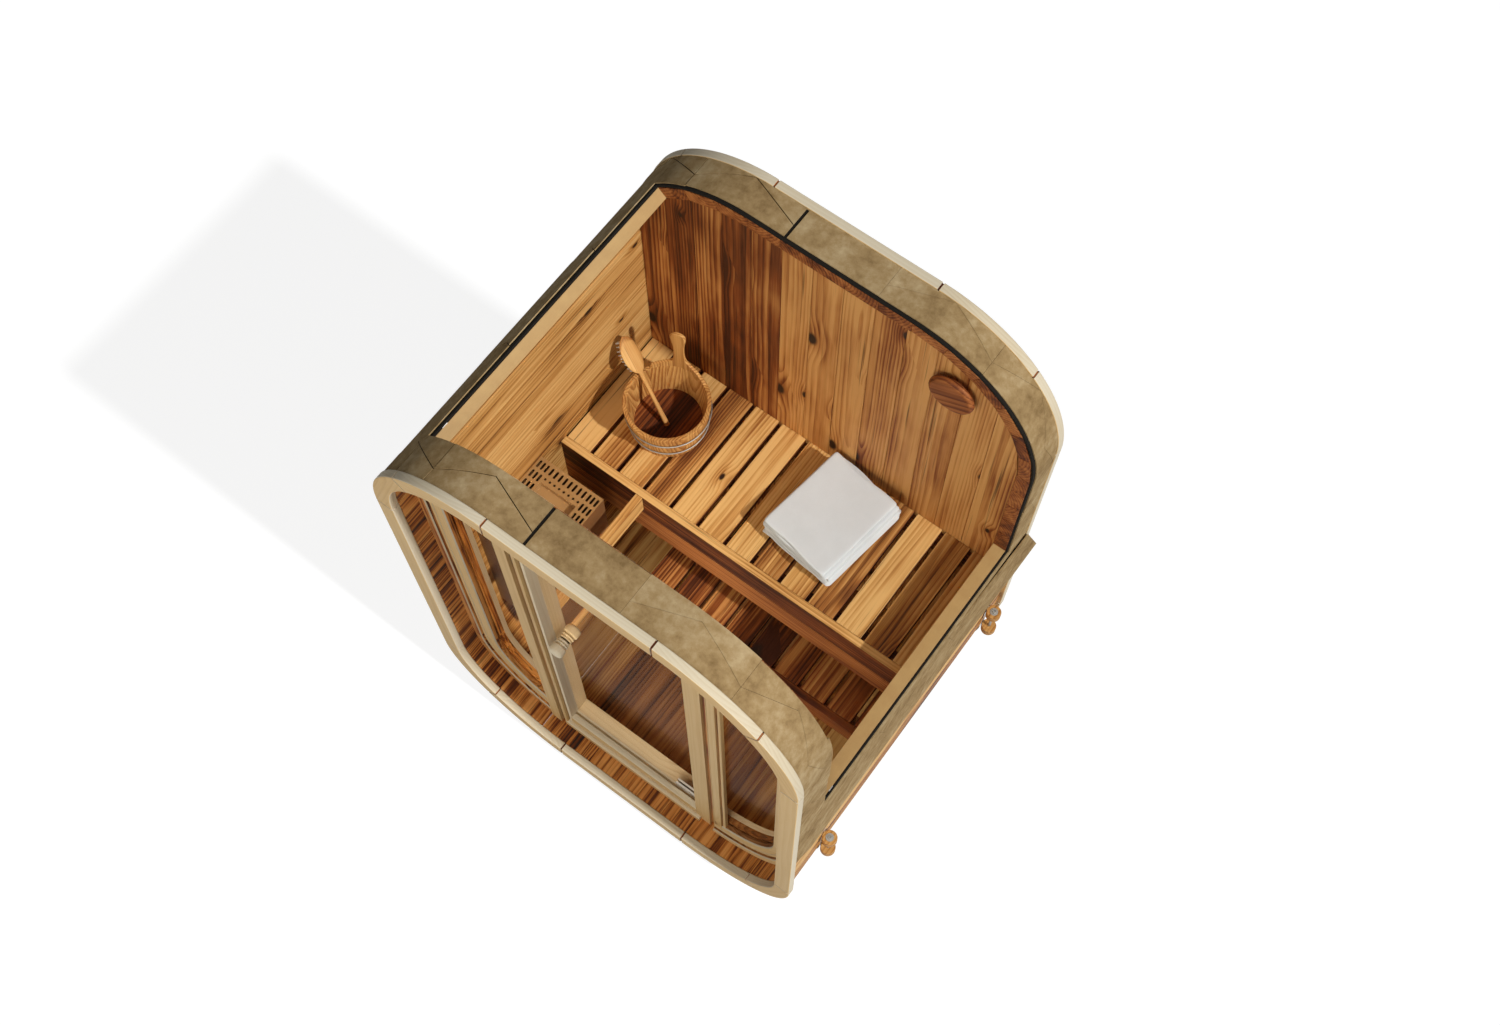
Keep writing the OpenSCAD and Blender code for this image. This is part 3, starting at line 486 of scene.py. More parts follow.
def brushedSteel(name, low, high, dark=(0.5, 0.48, 0.45), light=(0.72, 0.7, 0.66)):
    finish, tree, inputs = newFinish(name, Metallic=1.0)
    hair = noise(tree, stretch(tree, objectSpace(tree), (40, 900, 40)), 1.0, 3.0)
    tree.links.new(ramp(tree, hair, ((0.3, dark), (0.75, light))), inputs["Base Color"])
    tree.links.new(fade(tree, hair, 0.2, 0.8, low, high), inputs["Roughness"])
    addBump(tree, inputs, hair, 0.0002, 0.3)
    return finish


def stoveEnamel(name, low, high):
    finish, tree, inputs = newFinish(name, Coat_Weight=0.15)
    place = objectSpace(tree)
    cloud = noise(tree, place, 7.0, 4.0)
    peel = noise(tree, place, 520.0, 2.0)
    tree.links.new(ramp(tree, cloud, ((0.3, low), (0.75, high))), inputs["Base Color"])
    tree.links.new(fade(tree, cloud, 0.3, 0.8, 0.36, 0.5), inputs["Roughness"])
    addBump(tree, inputs, peel, 0.0004, 0.3)
    return finish


def terryCotton():
    finish, tree, inputs = newFinish("terryCotton", Roughness=0.95, Sheen_Weight=0.35)
    place = objectSpace(tree)
    loops = noise(tree, place, 650.0, 2.0)
    soft = noise(tree, place, 12.0, 3.0)
    share = calc(tree, "ADD", calc(tree, "MULTIPLY", loops, 0.5), calc(tree, "MULTIPLY", soft, 0.5))
    colour = ramp(tree, share, ((0.3, (0.595, 0.625, 0.625)), (0.7, (0.665, 0.7, 0.705))))
    tree.links.new(colour, inputs["Base Color"])
    addBump(tree, inputs, loops, 0.0012, 0.6)
    return finish


def darkSeal():
    finish, tree, inputs = newFinish("darkSeal", Roughness=0.6)
    mark = noise(tree, objectSpace(tree), 160.0, 3.0)
    colour = ramp(tree, mark, ((0.3, (0.012, 0.011, 0.01)), (0.8, (0.05, 0.045, 0.04))))
    tree.links.new(colour, inputs["Base Color"])
    return finish


grit = shingleGrit()
felt = feltBlack()
glass = bronzeGlass()
steel = brushedSteel("brushedSteel", 0.24, 0.42)
dullSteel = brushedSteel("dullSteel", 0.45, 0.65, (0.3, 0.285, 0.255), (0.46, 0.44, 0.4))
topEnamel = stoveEnamel("topEnamel", (0.31, 0.163, 0.056), (0.38, 0.21, 0.076))
caseEnamel = stoveEnamel("caseEnamel", (0.17, 0.075, 0.026), (0.24, 0.11, 0.042))
cotton = terryCotton()
seal = darkSeal()
print("finishes made")


# A rectangle with rounded corners in (inset, y).
def roundedSection(inset0, inset1, y0, y1, radius, steps=4):
    points = []
    middles = ((inset0 + radius, y0 + radius, 180), (inset1 - radius, y0 + radius, 270),
               (inset1 - radius, y1 - radius, 0), (inset0 + radius, y1 - radius, 90))
    for a, b, start in middles:
        for k in range(steps + 1):
            angle = math.radians(start + 90 * k / steps)
            points.append((a + radius * math.cos(angle), b + radius * math.sin(angle)))
    return points


rims = {"width": 0.061, "thick": 0.0295, "joint": 0.0068, "round": 0.004, "tongue": 0.003, "stepsPer45": 14}
rimBreaks = (0, 1, 1.5, 2, 3, 3.5, 4, 5, 5.5, 6, 7, 7.5, 8)


def makeRim(name, node, y0):
    stock = newStock()
    section = roundedSection(0, rims["width"], y0, y0 + rims["thick"], rims["round"])
    for start, end in zip(rimBreaks, rimBreaks[1:]):
        slack = rims["joint"] / 2 / runLength(start)
        steps = rims["stepsPer45"] if int(start) % 2 else 1
        turns = [start + slack + (end - start - 2 * slack) * k / steps for k in range(steps + 1)]
        loops = [[onOutline(t, inset, y) for inset, y in section] for t in turns]
        first = onOutline(turns[0], rims["width"] / 2, y0)
        last = onOutline(turns[-1], rims["width"] / 2, y0)
        # Faces turned along the depth take the spruce with painted shade.
        addSolid(stock, loft(loops), (first + last) / 2, last - first, yAxis.cross(last - first),
                 choose=lambda centre, normal: 1 if abs(normal.y) > 0.7 else 0)
    tongue = roundedSection(rims["tongue"], rims["width"] - rims["tongue"], y0 + rims["tongue"],
                            y0 + rims["thick"] - rims["tongue"], rims["round"] / 2)
    for start in rimBreaks[:-1]:
        turns = (start - rims["joint"] / runLength(start - 0.01), start + rims["joint"] / runLength(start))
        loops = [[onOutline(t, inset, y) for inset, y in tongue] for t in turns]
        addSolid(stock, loft(loops), loops[0][0], yAxis, loops[1][0] - loops[0][0],
                 choose=lambda centre, normal: 2)
    return makePiece(name, stock, [spruceTimber, shadedSpruceTimber, russetTimber], [node])


makeRim("frontRim", "front_rim", 0.0)
makeRim("rearRim", "rear_rim", barrel["depth"] - rims["thick"])
print("rims made")

staves = {"start": 0.0298, "end": 1.2822, "gap": 0.0006, "chamfer": 0.0018, "porchCut": 0.15}


# Cross-section of a stave in a corner, counted from the side wall. sx and sz pick the corner.
def cornerSection(sx, sz, k):
    step = math.radians(90 / barrel["cornerStaves"])
    outer = cornerR - barrel["proud"]
    inner = (cornerR - wallInset) / math.cos(step / 2)
    half = staves["gap"] / 2
    points = []
    corners = ((inner, k, half), (outer, k, half), (outer, k + 1, -half), (inner, k + 1, -half))
    for radius, angle, shift in corners:
        a = angle * step
        x = radius * math.cos(a) - shift * math.sin(a)
        z = radius * math.sin(a) + shift * math.cos(a)
        points.append((sx * (cornerX + x), (highZ + z) if sz > 0 else (lowZ - z)))
    return points


def boxSection(x0, x1, z0, z1):
    return [(x0, z0), (x1, z0), (x1, z1), (x0, z1)]


def sideSections(sx, first, last):
    pitch = sideLength / barrel["sideStaves"]
    x0 = innerX if sx > 0 else -innerX - barrel["stave"]
    half = staves["gap"] / 2
    return [boxSection(x0, x0 + barrel["stave"], lowZ + k * pitch + half, lowZ + (k + 1) * pitch - half)
            for k in range(first, last)]


def flatSections(z0):
    pitch = 2 * cornerX / barrel["flatStaves"]
    half = staves["gap"] / 2
    z1 = z0 + barrel["stave"]
    return [boxSection(-cornerX + k * pitch + half, -cornerX + (k + 1) * pitch - half, z0, z1)
            for k in range(barrel["flatStaves"])]


# Finish 0 is the boards inside and out, 1 the porch's inner faces, streaky and darkened with painted shade, 2
# the sawn faces of the opening.
def makeStaves(name, node, sections, y0, y1, inside, sawn=None):
    stock = newStock()
    middleZ = barrel["height"] / 2 + barrel["lift"]
    porchY = at(0, staves["porchCut"], 0).y

    def choose(centre, normal):
        if sawn is not None and normal.dot(sawn) > 0.9:
            return 2
        inward = normal.x * centre.x + normal.z * (centre.z - middleZ) < -0.2
        return 1 if inward and centre.y < porchY else 0

    for section in sections:
        loops = [[at(x, y, z) for x, z in section] for y in (y0, y1)]
        middle = sum((p for loop in loops for p in loop), Vector()) / 8
        across = loops[0][2] - loops[0][1]
        porchCut = staves["porchCut"] if y0 < staves["porchCut"] < y1 else None
        addSolid(stock, loft(loops), middle, yAxis, across, staves["chamfer"], choose=choose, cutY=porchCut)
    return makePiece(name, stock, [inside, shadedEmberTimber, sawnTan], [node])


count = barrel["cornerStaves"]
roofArch = ([cornerSection(-1, 1, k) for k in range(count // 2, count)]
            + flatSections(barrel["height"] - wallInset) + [cornerSection(1, 1, k) for k in range(count)])
rightUpper = sideSections(1, barrel["openStaves"], barrel["sideStaves"])
full = (staves["start"], staves["end"])
short = (staves["start"], barrel["openFront"])
rear = (barrel["openBack"], staves["end"])
slantCut = Vector((1, 0, 1)).normalized()
makeStaves("floorStaves", "floor_staves", flatSections(barrel["proud"]), *full, duskTimber)
makeStaves("lowerLeftCorner", "lower_left_corner_staves",
           [cornerSection(-1, -1, k) for k in range(count)], *full, honeyTimber)
makeStaves("lowerRightCorner", "lower_right_corner_staves",
           [cornerSection(1, -1, k) for k in range(count)], *full, honeyTimber)
makeStaves("leftWall", "left_wall_staves", sideSections(-1, 0, barrel["sideStaves"]), *full, wallTimber)
makeStaves("rightWall", "right_wall_staves", sideSections(1, 0, barrel["openStaves"]), *full, honeyTimber, up)
makeStaves("upperLeftCorner", "upper_left_corner_staves",
           [cornerSection(-1, 1, k) for k in range(count // 2)], *full, wallTimber, slantCut)
makeStaves("frontRoof", "front_roof_staves", roofArch, *short, russetTimber)
makeStaves("frontRight", "front_right_staves", rightUpper, *short, russetTimber)
makeStaves("rearRoof", "rear_roof_staves", roofArch, *rear, russetTimber)
makeStaves("rearRight", "rear_right_staves", rightUpper, *rear, russetTimber)
print("staves made")

front = {
    "outer": (0.0603, 0.0913), "inner": (0.0913, 0.1413), "outerY": 0.09, "innerY": 0.102,
    "frameBack": 0.177, "revealShadeFrom": 0.115, "revealShadeTo": 0.157, "paneY": 0.126, "paneT": 0.008,
    "postLeft": -0.386, "postRight": 0.357, "arcSteps": 16,
    "outerRail": (-0.3217, 0.2927), "innerRail": (-0.2997, 0.2707),
}


# Stepped and moulded front of the window frames, the sill and the head, in (inset, y): an outer and an
# inner strip.
def frameSection(back, outerPart):
    if outerPart:
        a0, a1 = front["outer"]
        y = front["outerY"]
        return [(a0, back), (a0, y + 0.003), (a0 + 0.003, y), (a1 - 0.008, y), (a1 - 0.004, y + 0.0015),
                (a1 - 0.0015, y + 0.006), (a1 - 0.0015, back)]
    b0, b1 = front["inner"]
    y = front["innerY"]
    rebate = front["paneY"] - 0.0005
    rebateEnd = rebate + front["paneT"] + 0.001
    # The inner strip's reveal gets a point where its band of painted shade ends.
    return [(b0 - 0.001, back), (b0 - 0.001, y + 0.006), (b0 + 0.0015, y + 0.006), (b0 + 0.0015, y + 0.001),
            (b0 + 0.003, y), (b0 + 0.015, y), (b0 + 0.016, y + 0.003), (b0 + 0.018, y + 0.003),
            (b0 + 0.019, y), (b1 - 0.007, y), (b1 - 0.002, y + 0.003), (b1, y + 0.008), (b1, rebate),
            (b1 - 0.01, rebate), (b1 - 0.01, rebateEnd), (b1, rebateEnd), (b1, front["revealShadeTo"]), (b1, back)]


# The curved frame of a side window, from the post over the corner and the side to the post again.
def makeWindowFrame(name, node, sx, postX):
    stock = newStock()
    steps = front["arcSteps"]
    shadowY, shadeEndY = at(0, front["revealShadeFrom"], 0).y, at(0, front["revealShadeTo"], 0).y

    def turnsFor(inset):
        lean = math.asin((abs(postX) - cornerX) / (cornerR - inset)) / (math.pi / 2)
        arcs = ((3 + lean, 4), (5, 6 - lean)) if sx < 0 else ((7 + lean, 8), (1, 2 - lean))
        return [low + (high - low) * k / steps for low, high in arcs for k in range(steps + 1)]

    for outerPart in (True, False):
        section = frameSection(front["frameBack"], outerPart)
        columns = [[onOutline(t, inset, y) for t in turnsFor(inset)] for inset, y in section]
        loops = list(zip(*columns))
        # Front faces take spruce with painted shade; on the left window the outer strip's front takes the
        # darker umber, also as painted shade.
        face = 2 if outerPart and sx < 0 else 1

        # The reveal between the two given depths is darkened with painted shade; behind it the spruce stays
        # pale.
        def choose(centre, normal):
            if shadowY < centre.y < shadeEndY:
                return 3
            return face if normal.y < -0.7 else 0

        for start, end in ((0, steps + 1), (steps, steps + 2), (steps + 1, 2 * steps + 2)):
            part = loops[start:end]
            chord = part[-1][0] - part[0][0]
            middle = (part[-1][0] + part[0][0]) / 2
            addSolid(stock, loft(part), middle, chord, yAxis.cross(chord), choose=choose)
    # Painted shade on the reveal: the ember timber on the left, the dusk timber on the right.
    revealShade = shadedEmberTimber if sx < 0 else duskTimber
    return makePiece(name, stock, [spruceTimber, shadedSpruceTimber, umberTimber, revealShade], [node])


makeWindowFrame("leftWindowFrame", "left_window_frame", -1, front["postLeft"])
makeWindowFrame("rightWindowFrame", "right_window_frame", 1, front["postRight"])


# Sill and head: the same mouldings drawn straight across the doorway.
def makeRail(name, node, flip, back):
    stock = newStock()
    for outerPart, ends in ((True, front["outerRail"]), (False, front["innerRail"])):
        section = frameSection(back, outerPart)
        if flip:
            section = [(barrel["height"] - inset, y) for inset, y in section]
        loops = [[at(x, y, z) for z, y in section] for x in ends]
        # Front faces take the spruce with painted shade, the other faces the paler spruce with painted light.
        addSolid(stock, loft(loops), (loops[0][0] + loops[1][0]) / 2, xAxis, yAxis,
                 choose=lambda centre, normal: 1 if normal.y < -0.7 else 0)
    return makePiece(name, stock, [litSpruceTimber, shadedSpruceTimber], [node])


makeRail("doorSill", "door_sill", False, barrel["porch"])
makeRail("doorHead", "door_head", True, front["frameBack"])


# Upright strips between the staves, their ends cut to the outline, or to a lower top.
def addUpright(stock, x0, x1, y0, y1, inset, bevel, finish=0, top=math.inf, shade=None):
    steps = 6
    xs = [x0 + (x1 - x0) * k / steps for k in range(steps + 1)]
    outline = [(x, min(top, archZ(x, inset, True))) for x in xs]
    outline += [(x, archZ(x, inset, False)) for x in reversed(xs)]
    loops = [[at(x, y, z) for x, z in outline] for y in (y0, y1)]
    middle = at((x0 + x1) / 2, (y0 + y1) / 2, barrel["height"] / 2)
    bm = loft(loops)
    bmesh.ops.recalc_face_normals(bm, faces=bm.faces)
    long = [e for e in bm.edges if abs((e.verts[0].co - e.verts[1].co).z) > 0.5]
    bmesh.ops.bevel(bm, geom=long, offset=bevel, segments=2, affect="EDGES", clamp_overlap=True, profile=0.5)
    addSolid(stock, bm, middle, up, xAxis, choose=lambda centre, normal: finish, shade=shade)


# Strips are (x from, x to, face y, back y, finish): boards of spruce with painted shade, rebates darkened
# further with painted shade, and on the left a jamb strip of paler spruce with painted light.
posts = {"jambTop": 2.0695, "overPane": 0.1255, "inset": wallInset + 0.0005, "chamfer": 0.002}
frameBack, jambBack, overPane = front["frameBack"], barrel["porch"], posts["overPane"]
postStrips = {
    "left_door_post": ("leftPost", (
        (-0.3857, -0.34, 0.086, frameBack, 0), (-0.34, -0.33, 0.1, frameBack, 1),
        (-0.33, -0.316, 0.094, frameBack, 0), (-0.316, -0.312, 0.11, frameBack, 1),
        (-0.312, -0.3, 0.105, jambBack, 2))),
    "right_door_post": ("rightPost", (
        (0.271, 0.3345, 0.104, jambBack, 0), (0.3345, 0.3535, 0.116, frameBack, 1),
        (0.3535, 0.3567, 0.103, frameBack, 0), (0.3567, 0.386, 0.103, overPane, 0),
        (0.386, 0.391, 0.113, overPane, 1), (0.391, 0.401, 0.109, overPane, 0))),
}
for node, (name, strips) in postStrips.items():
    stock = newStock()
    for x0, x1, faceY, backY, finish in strips:
        top = posts["jambTop"] if backY == jambBack else math.inf
        addUpright(stock, x0, x1, faceY, backY, posts["inset"], posts["chamfer"], finish, top)
    makePiece(name, stock, [shadedSpruceTimber, umberTimber, litSpruceTimber], [node])
print("front wall made")

door = {
    "y": 0.139, "thick": 0.008, "right": 0.265, "low": 0.1506, "high": 2.0604, "knobX": -0.258, "knobZ": 1.0,
    "knob": ((0.0, 0.0), (0.021, 0.0), (0.0225, 0.0015), (0.0225, 0.005), (0.0205, 0.0062), (0.0195, 0.0078),
             (0.0205, 0.0094), (0.0235, 0.0105), (0.0242, 0.013), (0.0235, 0.0155), (0.0205, 0.0166),
             (0.0195, 0.0185), (0.021, 0.0205), (0.0255, 0.0222), (0.0275, 0.026), (0.0275, 0.041),
             (0.0266, 0.0465), (0.0237, 0.0505), (0.0178, 0.053), (0.009, 0.0539), (0.0, 0.054)),
    "sealEnd": 0.036, "sealLap": 0.004, "sealT": 0.0018,
}


# Turned double knob: a stem with rings at the glass and a rounded grip, once on each face.
def makeKnob():
    stock = newStock()
    for y, way in ((door["y"], 1), (door["y"] + door["thick"], -1)):
        place = Matrix.Translation(at(door["knobX"], y, door["knobZ"]))
        place = place @ Matrix.Rotation(way * math.pi / 2, 4, "X")
        addSolid(stock, lathe(door["knob"], place), place.translation, place.to_3x3() @ up, xAxis)
    # The knob is the paler spruce with painted light.
    return makePiece("doorKnob", stock, [litSpruceTimber], ["door_knob"], "door", sharp=60)


# Soft seal on the hinge edge of the glass.
def makeSeal():
    stock = newStock()
    x, y, t = door["right"], door["y"], door["sealT"]
    addBoard(stock, (x - door["sealLap"], y - t, door["low"] + door["sealEnd"]),
             (x + t, y + door["thick"] + t, door["high"] - door["sealEnd"]), "z", 0.001)
    return makePiece("doorSeal", stock, [seal], (), "door")


makeKnob()
makeSeal()
for node in ("left_window_glass", "right_window_glass", "door_glass"):
    pane = dressNode(node, glass)
    pane.visible_shadow = False  # clear panes let the light in
print("door made")

backWall = {
    "boards": 13, "thick": 0.043, "gap": 0.0002, "chamfer": 0.003, "ventX": 0.445, "ventZ": 2.001,
    # Board tones, higher is darker: the dark left boards are the wood's own tone; the pale middle and right
    # boards are paler still as painted light.
    "tonesWithPaintedLight": (0.74, 0.88, 0.7, 0.84, 0.68, 0.14, 0.3, 0.12, 0.32, 0.1, 0.3, 0.08, 0.34),
}


def makeBackWall():
    stock = newStock()
    inset = wallInset + seat
    width = barrel["width"] - 2 * inset
    pitch = width / backWall["boards"]
    y0 = barrel["backWall"]
    for k in range(backWall["boards"]):
        x0 = -width / 2 + k * pitch + backWall["gap"] / 2
        x1 = x0 + pitch - backWall["gap"]
        addUpright(stock, x0, x1, y0, y0 + backWall["thick"], inset, backWall["chamfer"],
                   shade=backWall["tonesWithPaintedLight"][k])
    return makePiece("backWall", stock, [umberTimber], ["back_wall"])


def makeVent():
    stock = newStock()
    place = Matrix.Translation(at(backWall["ventX"], barrel["backWall"], backWall["ventZ"]))
    place = place @ Matrix.Rotation(math.pi / 2, 4, "X")
    back = -backWall["thick"] - 0.002
    turned = ((0.0, back), (0.0425, back), (0.0447, back + 0.002), (0.0447, 0.014), (0.067, 0.014),
              (0.071, 0.0155), (0.0745, 0.019), (0.075, 0.0235), (0.0738, 0.0285), (0.0705, 0.0327),
              (0.066, 0.0352), (0.06, 0.036), (0.0, 0.036))
    addSolid(stock, lathe(turned, place, 64), place.translation, Vector((0.85, 0, 0.5)), up)
    return makePiece("ventCover", stock, [russetTimber], ["vent_cover"], sharp=50)


makeBackWall()
makeVent()
print("back wall made")

bench = {
    "left": -0.6897, "right": 0.6897, "slat": 0.0972, "pitch": 0.11, "edge": 0.006, "thick": 0.028,
    "top": 1.065, "fascia": 0.132, "joint": 0.0005, "round": 0.0026, "cleat": 0.042, "cleatH": 0.066,
    "lowerTop": 0.66, "lowerX": -0.2707, "lowerY": 0.529, "lowerEnd": 0.86,
    "guardX": -0.3727, "guardH": 0.095,
}


# Slats from x0 to the right wall, with painted shade on their sides.
def addSlats(stock, x0, y0, y1, top):
    while bench["right"] - x0 > bench["slat"] / 4:
        x1 = min(x0 + bench["slat"], bench["right"])
        addBoard(stock, (x0, y0, top - bench["thick"]), (x1, y1, top), "y", bench["round"],
                 choose=lambda centre, normal: 1 if abs(normal.x) > 0.8 else 0)
        x0 += bench["pitch"]


def makeUpperBench():
    left, right, thick, top = bench["left"], bench["right"], bench["thick"], bench["top"]
    y0, y1 = barrel["benchFront"], barrel["backWall"] - seat
    slats = newStock()
    addSlats(slats, left + bench["edge"], y0 + thick + seat, y1, top)
    makePiece("upperSlats", slats, [honeyTimber, paintedShadeTimber], ["upper_bench_slats"])
    fascia = newStock()
    # The fascia boards' front faces are darkened with painted shade.
    for k in (0, 1):
        z1 = top - k * (bench["fascia"] + bench["joint"])
        addBoard(fascia, (left, y0, z1 - bench["fascia"]), (right, y0 + thick, z1), "x", bench["round"],
                 choose=lambda centre, normal, k=k: 1 + k if normal.y < -0.7 else 0)
    makePiece("upperFascia", fascia, [honeyTimber, paintedShadeTimber, russetTimber],
              ["upper_bench_fascia"])
    bearers = newStock()
    cleat, z1 = bench["cleat"], top - thick
    z0 = z1 - bench["cleatH"]
    inside = y0 + thick + bench["joint"]
    for low, high in ((inside, inside + cleat), (y1 - cleat, y1)):
        addBoard(bearers, (left, low, z0), (right, high, z1), "x")
    for x0 in (left, right - cleat):
        addBoard(bearers, (x0, inside + cleat, z0), (x0 + cleat, y1 - cleat, z1), "y")
    makePiece("upperBearers", bearers, [russetTimber], ["upper_bench_bearers"])


def makeLowerBench():
    thick, top, y0, y1 = bench["thick"], bench["lowerTop"], bench["lowerY"], bench["lowerEnd"]
    x0, right, cleat = bench["lowerX"], bench["right"], bench["cleat"]
    slats = newStock()
    addSlats(slats, x0, y0 + thick + seat, y1, top)
    # Lower slat tops are partly painted shade; their sides are painted shade.
    makePiece("lowerSlats", slats, [shadedLowerTimber, paintedShadeTimber], ["lower_bench_slats"])
    rail = newStock()
    addBoard(rail, (x0, y0, top - bench["cleatH"] - thick), (right, y0 + thick, top), "x", bench["round"])
    makePiece("lowerRail", rail, [russetTimber], ["lower_bench_rail"])
    supports = newStock()
    z1 = top - thick
    z0 = z1 - bench["cleatH"]
    inside = y0 + thick + seat
    for low in (inside, y1 - cleat):
        addBoard(supports, (x0, low, z0), (right - cleat, low + cleat, z1), "x")
        addBoard(supports, (x0, low, wallInset), (x0 + cleat, low + cleat, z0), "z")
    addBoard(supports, (right - cleat, inside, z0), (right, y1, z1), "y")
    makePiece("lowerSupports", supports, [russetTimber], ["lower_bench_supports"])


def makeGuard():
    stock = newStock()
    x0 = bench["guardX"]
    addBoard(stock, (x0, barrel["porch"], bench["top"] - bench["guardH"]),
             (x0 + bench["thick"], barrel["benchFront"], bench["top"]), "y", bench["round"])
    return makePiece("guardRail", stock, [honeyTimber], ["guard_rail"])


makeUpperBench()
makeLowerBench()
makeGuard()
print("benches made")

shingles = {
    "firstLine": 0.157, "course": 0.363, "peak": 0.066, "rowStart": 0.071, "rowPitch": 0.3817, "slit": 0.0018,
    "wideSlit": 0.005, "join": 0.0014, "shut": 0.0004, "thick": 0.0038, "outer": 0.0045, "lift": 0.0022,
    "shutLift": 0.0005, "rightEnd": 2.0, "end": 2.1084, "cut": 0.088, "stripe": 0.031, "ragged": 0.008,
    "margin": {"left": 0.018, "front": -0.001, "back": 0.005, "right": 0.011},
    "loose": {"course": 1.609, "row": 2, "extra": 0.063, "from": 1.24, "curl": 0.03, "over": 0.105,
              "past": 0.1},
    "felt": {"thick": 0.0064, "outer": 0.0085, "edge": 0.0012, "front": 0.006, "in": 0.001, "left": 0.01,
             "right": 0.012},
}
openLeft = -(cornerX + cornerR * math.pi / 4)
openRight = cornerX + quarterArc + highZ - (lowZ + barrel["openStaves"] * sideLength / barrel["sideStaves"])


# Keeps the part of a flat outline where room(point) isn't negative.
def clip(points, room):
    kept = []
    for a, b in zip(points, points[1:] + points[:1]):
        da, db = room(a), room(b)
        if da >= 0:
            kept.append(a)
        if da * db < 0:
            share = da / (da - db)
            kept.append((a[0] + (b[0] - a[0]) * share, a[1] + (b[1] - a[1]) * share))
    return kept


def clipAcross(points, left, right):
    return clip(clip(points, lambda p: p[0] - left), lambda p: right - p[0])


def clipDepth(points, near, far):
    return clip(clip(points, lambda p: p[1] - near), lambda p: far - p[1])


# Takes off the slanted lower front corner of the covering.
def cutCorner(points):
    end = shingles["rightEnd"] if points and points[0][0] > 0 else shingles["end"]
    limit = end - staves["start"] - shingles["cut"]
    return clip(points, lambda p: limit - (abs(p[0]) - p[1]))


# One tab, given flat as (along the outline, y), bent over it in narrow stripes and given its thickness.
def addTab(stock, halves, inset, thick, curl=0.0):
    bm = bmesh.new()
    found = {}
    loose, stripe = shingles["loose"], shingles["stripe"]

    def corner(point):
        key = (round(point[0], 5), round(point[1], 5))
        if key not in found:
            bent = max(0.0, (point[1] - loose["from"]) / loose["over"])
            found[key] = bm.verts.new(onOutline(turnOf(point[0]), inset - curl * bent, point[1]))
        return found[key]

    for half in halves:
        first = math.floor(min(p[0] for p in half) / stripe)
        last = math.ceil(max(p[0] for p in half) / stripe)
        for k in range(first, last):
            strip = clipAcross(half, k * stripe, (k + 1) * stripe)
            loop = list(dict.fromkeys(corner(p) for p in strip))
            if len(loop) > 2 and bm.faces.get(loop) is None:
                bm.faces.new(loop)
    if not bm.faces:
        bm.free()
        return
    bmesh.ops.recalc_face_normals(bm, faces=bm.faces)
    face = max(bm.faces, key=lambda f: f.calc_area())
    out = face.calc_center_median() - at(0, 0, barrel["height"] / 2)
    if face.normal.x * out.x + face.normal.z * out.z < 0:
        bmesh.ops.reverse_faces(bm, faces=bm.faces)
    bmesh.ops.solidify(bm, geom=bm.faces[:], thickness=thick)
    middle = sum((v.co for v in bm.verts), Vector()) / len(bm.verts)
    addSolid(stock, bm, middle, yAxis, up)


# One slit stands open beside the top course, those on the left show, and the others are shut.
def slitAt(line):
    if abs(line + shingles["firstLine"]) < 1e-6:
        return shingles["wideSlit"]
    return shingles["slit"] if line < 0 else shingles["shut"]


# Rows of six-cornered tabs, clipped to the stretches of roof that are left round the opening.
def makeShingles():
    stock = newStock()
    margin, loose, pitch = shingles["margin"], shingles["loose"], shingles["rowPitch"]
    y0, y1 = staves["start"], staves["end"]
    frontEdge, backEdge = barrel["openFront"] - margin["front"], barrel["openBack"] + margin["back"]
    leftEdge, rightEdge = openLeft - margin["left"], openRight + margin["right"]
    regions = ((-shingles["end"], leftEdge, y0, y1), (leftEdge, rightEdge, y0, frontEdge),
               (leftEdge, rightEdge, backEdge, y1), (rightEdge, shingles["rightEnd"], y0, y1))
    lines = [shingles["firstLine"] + k * shingles["course"] for k in range(7)]
    lines = sorted([-line for line in lines] + lines)
    for a, b in zip(lines, lines[1:]):
        flat = abs(a + b) < 1e-6
        middle = (a + b) / 2
        peak = 0.0 if flat else shingles["peak"]
        join = shingles["join"] if b < 0 else shingles["shut"]
        a1, b1 = a + slitAt(a), b - slitAt(b)
        for row in range(-1, 4):
            low = shingles["rowStart"] + row * pitch + join
            high = low + pitch - 2 * join
            if flat:
                low += pitch / 2
                high += pitch / 2
            lift = draw.uniform(0.0, shingles["lift"]) if b < 0 else shingles["shutLift"]
            isLoose = abs(a - loose["course"]) < 1e-3 and row == loose["row"]
            if isLoose:
                high += loose["extra"]
            halves = ([(a1, low), (middle, low + peak), (middle, high + peak), (a1, high)],
                      [(middle, low + peak), (b1, low), (b1, high), (middle, high + peak)])
            for left, right, near, far in regions:
                torn = [draw.uniform(0, shingles["ragged"]) for _ in range(4)]
                left += torn[0] if left == rightEdge else 0
                right -= torn[1] if right == leftEdge else 0
                far -= torn[2] if far == frontEdge else 0
                near += torn[3] if near == backEdge else 0
                far += loose["past"] if isLoose else 0
                parts = [cutCorner(clipDepth(clipAcross(half, left, right), near, far)) for half in halves]
                parts = [part for part in parts if len(part) > 2]
                if parts:
                    addTab(stock, parts, shingles["outer"] - lift, shingles["thick"],
                           loose["curl"] if isLoose else 0.0)
    return makePiece("roofShingles", stock, [grit], ["roof_shingles"])


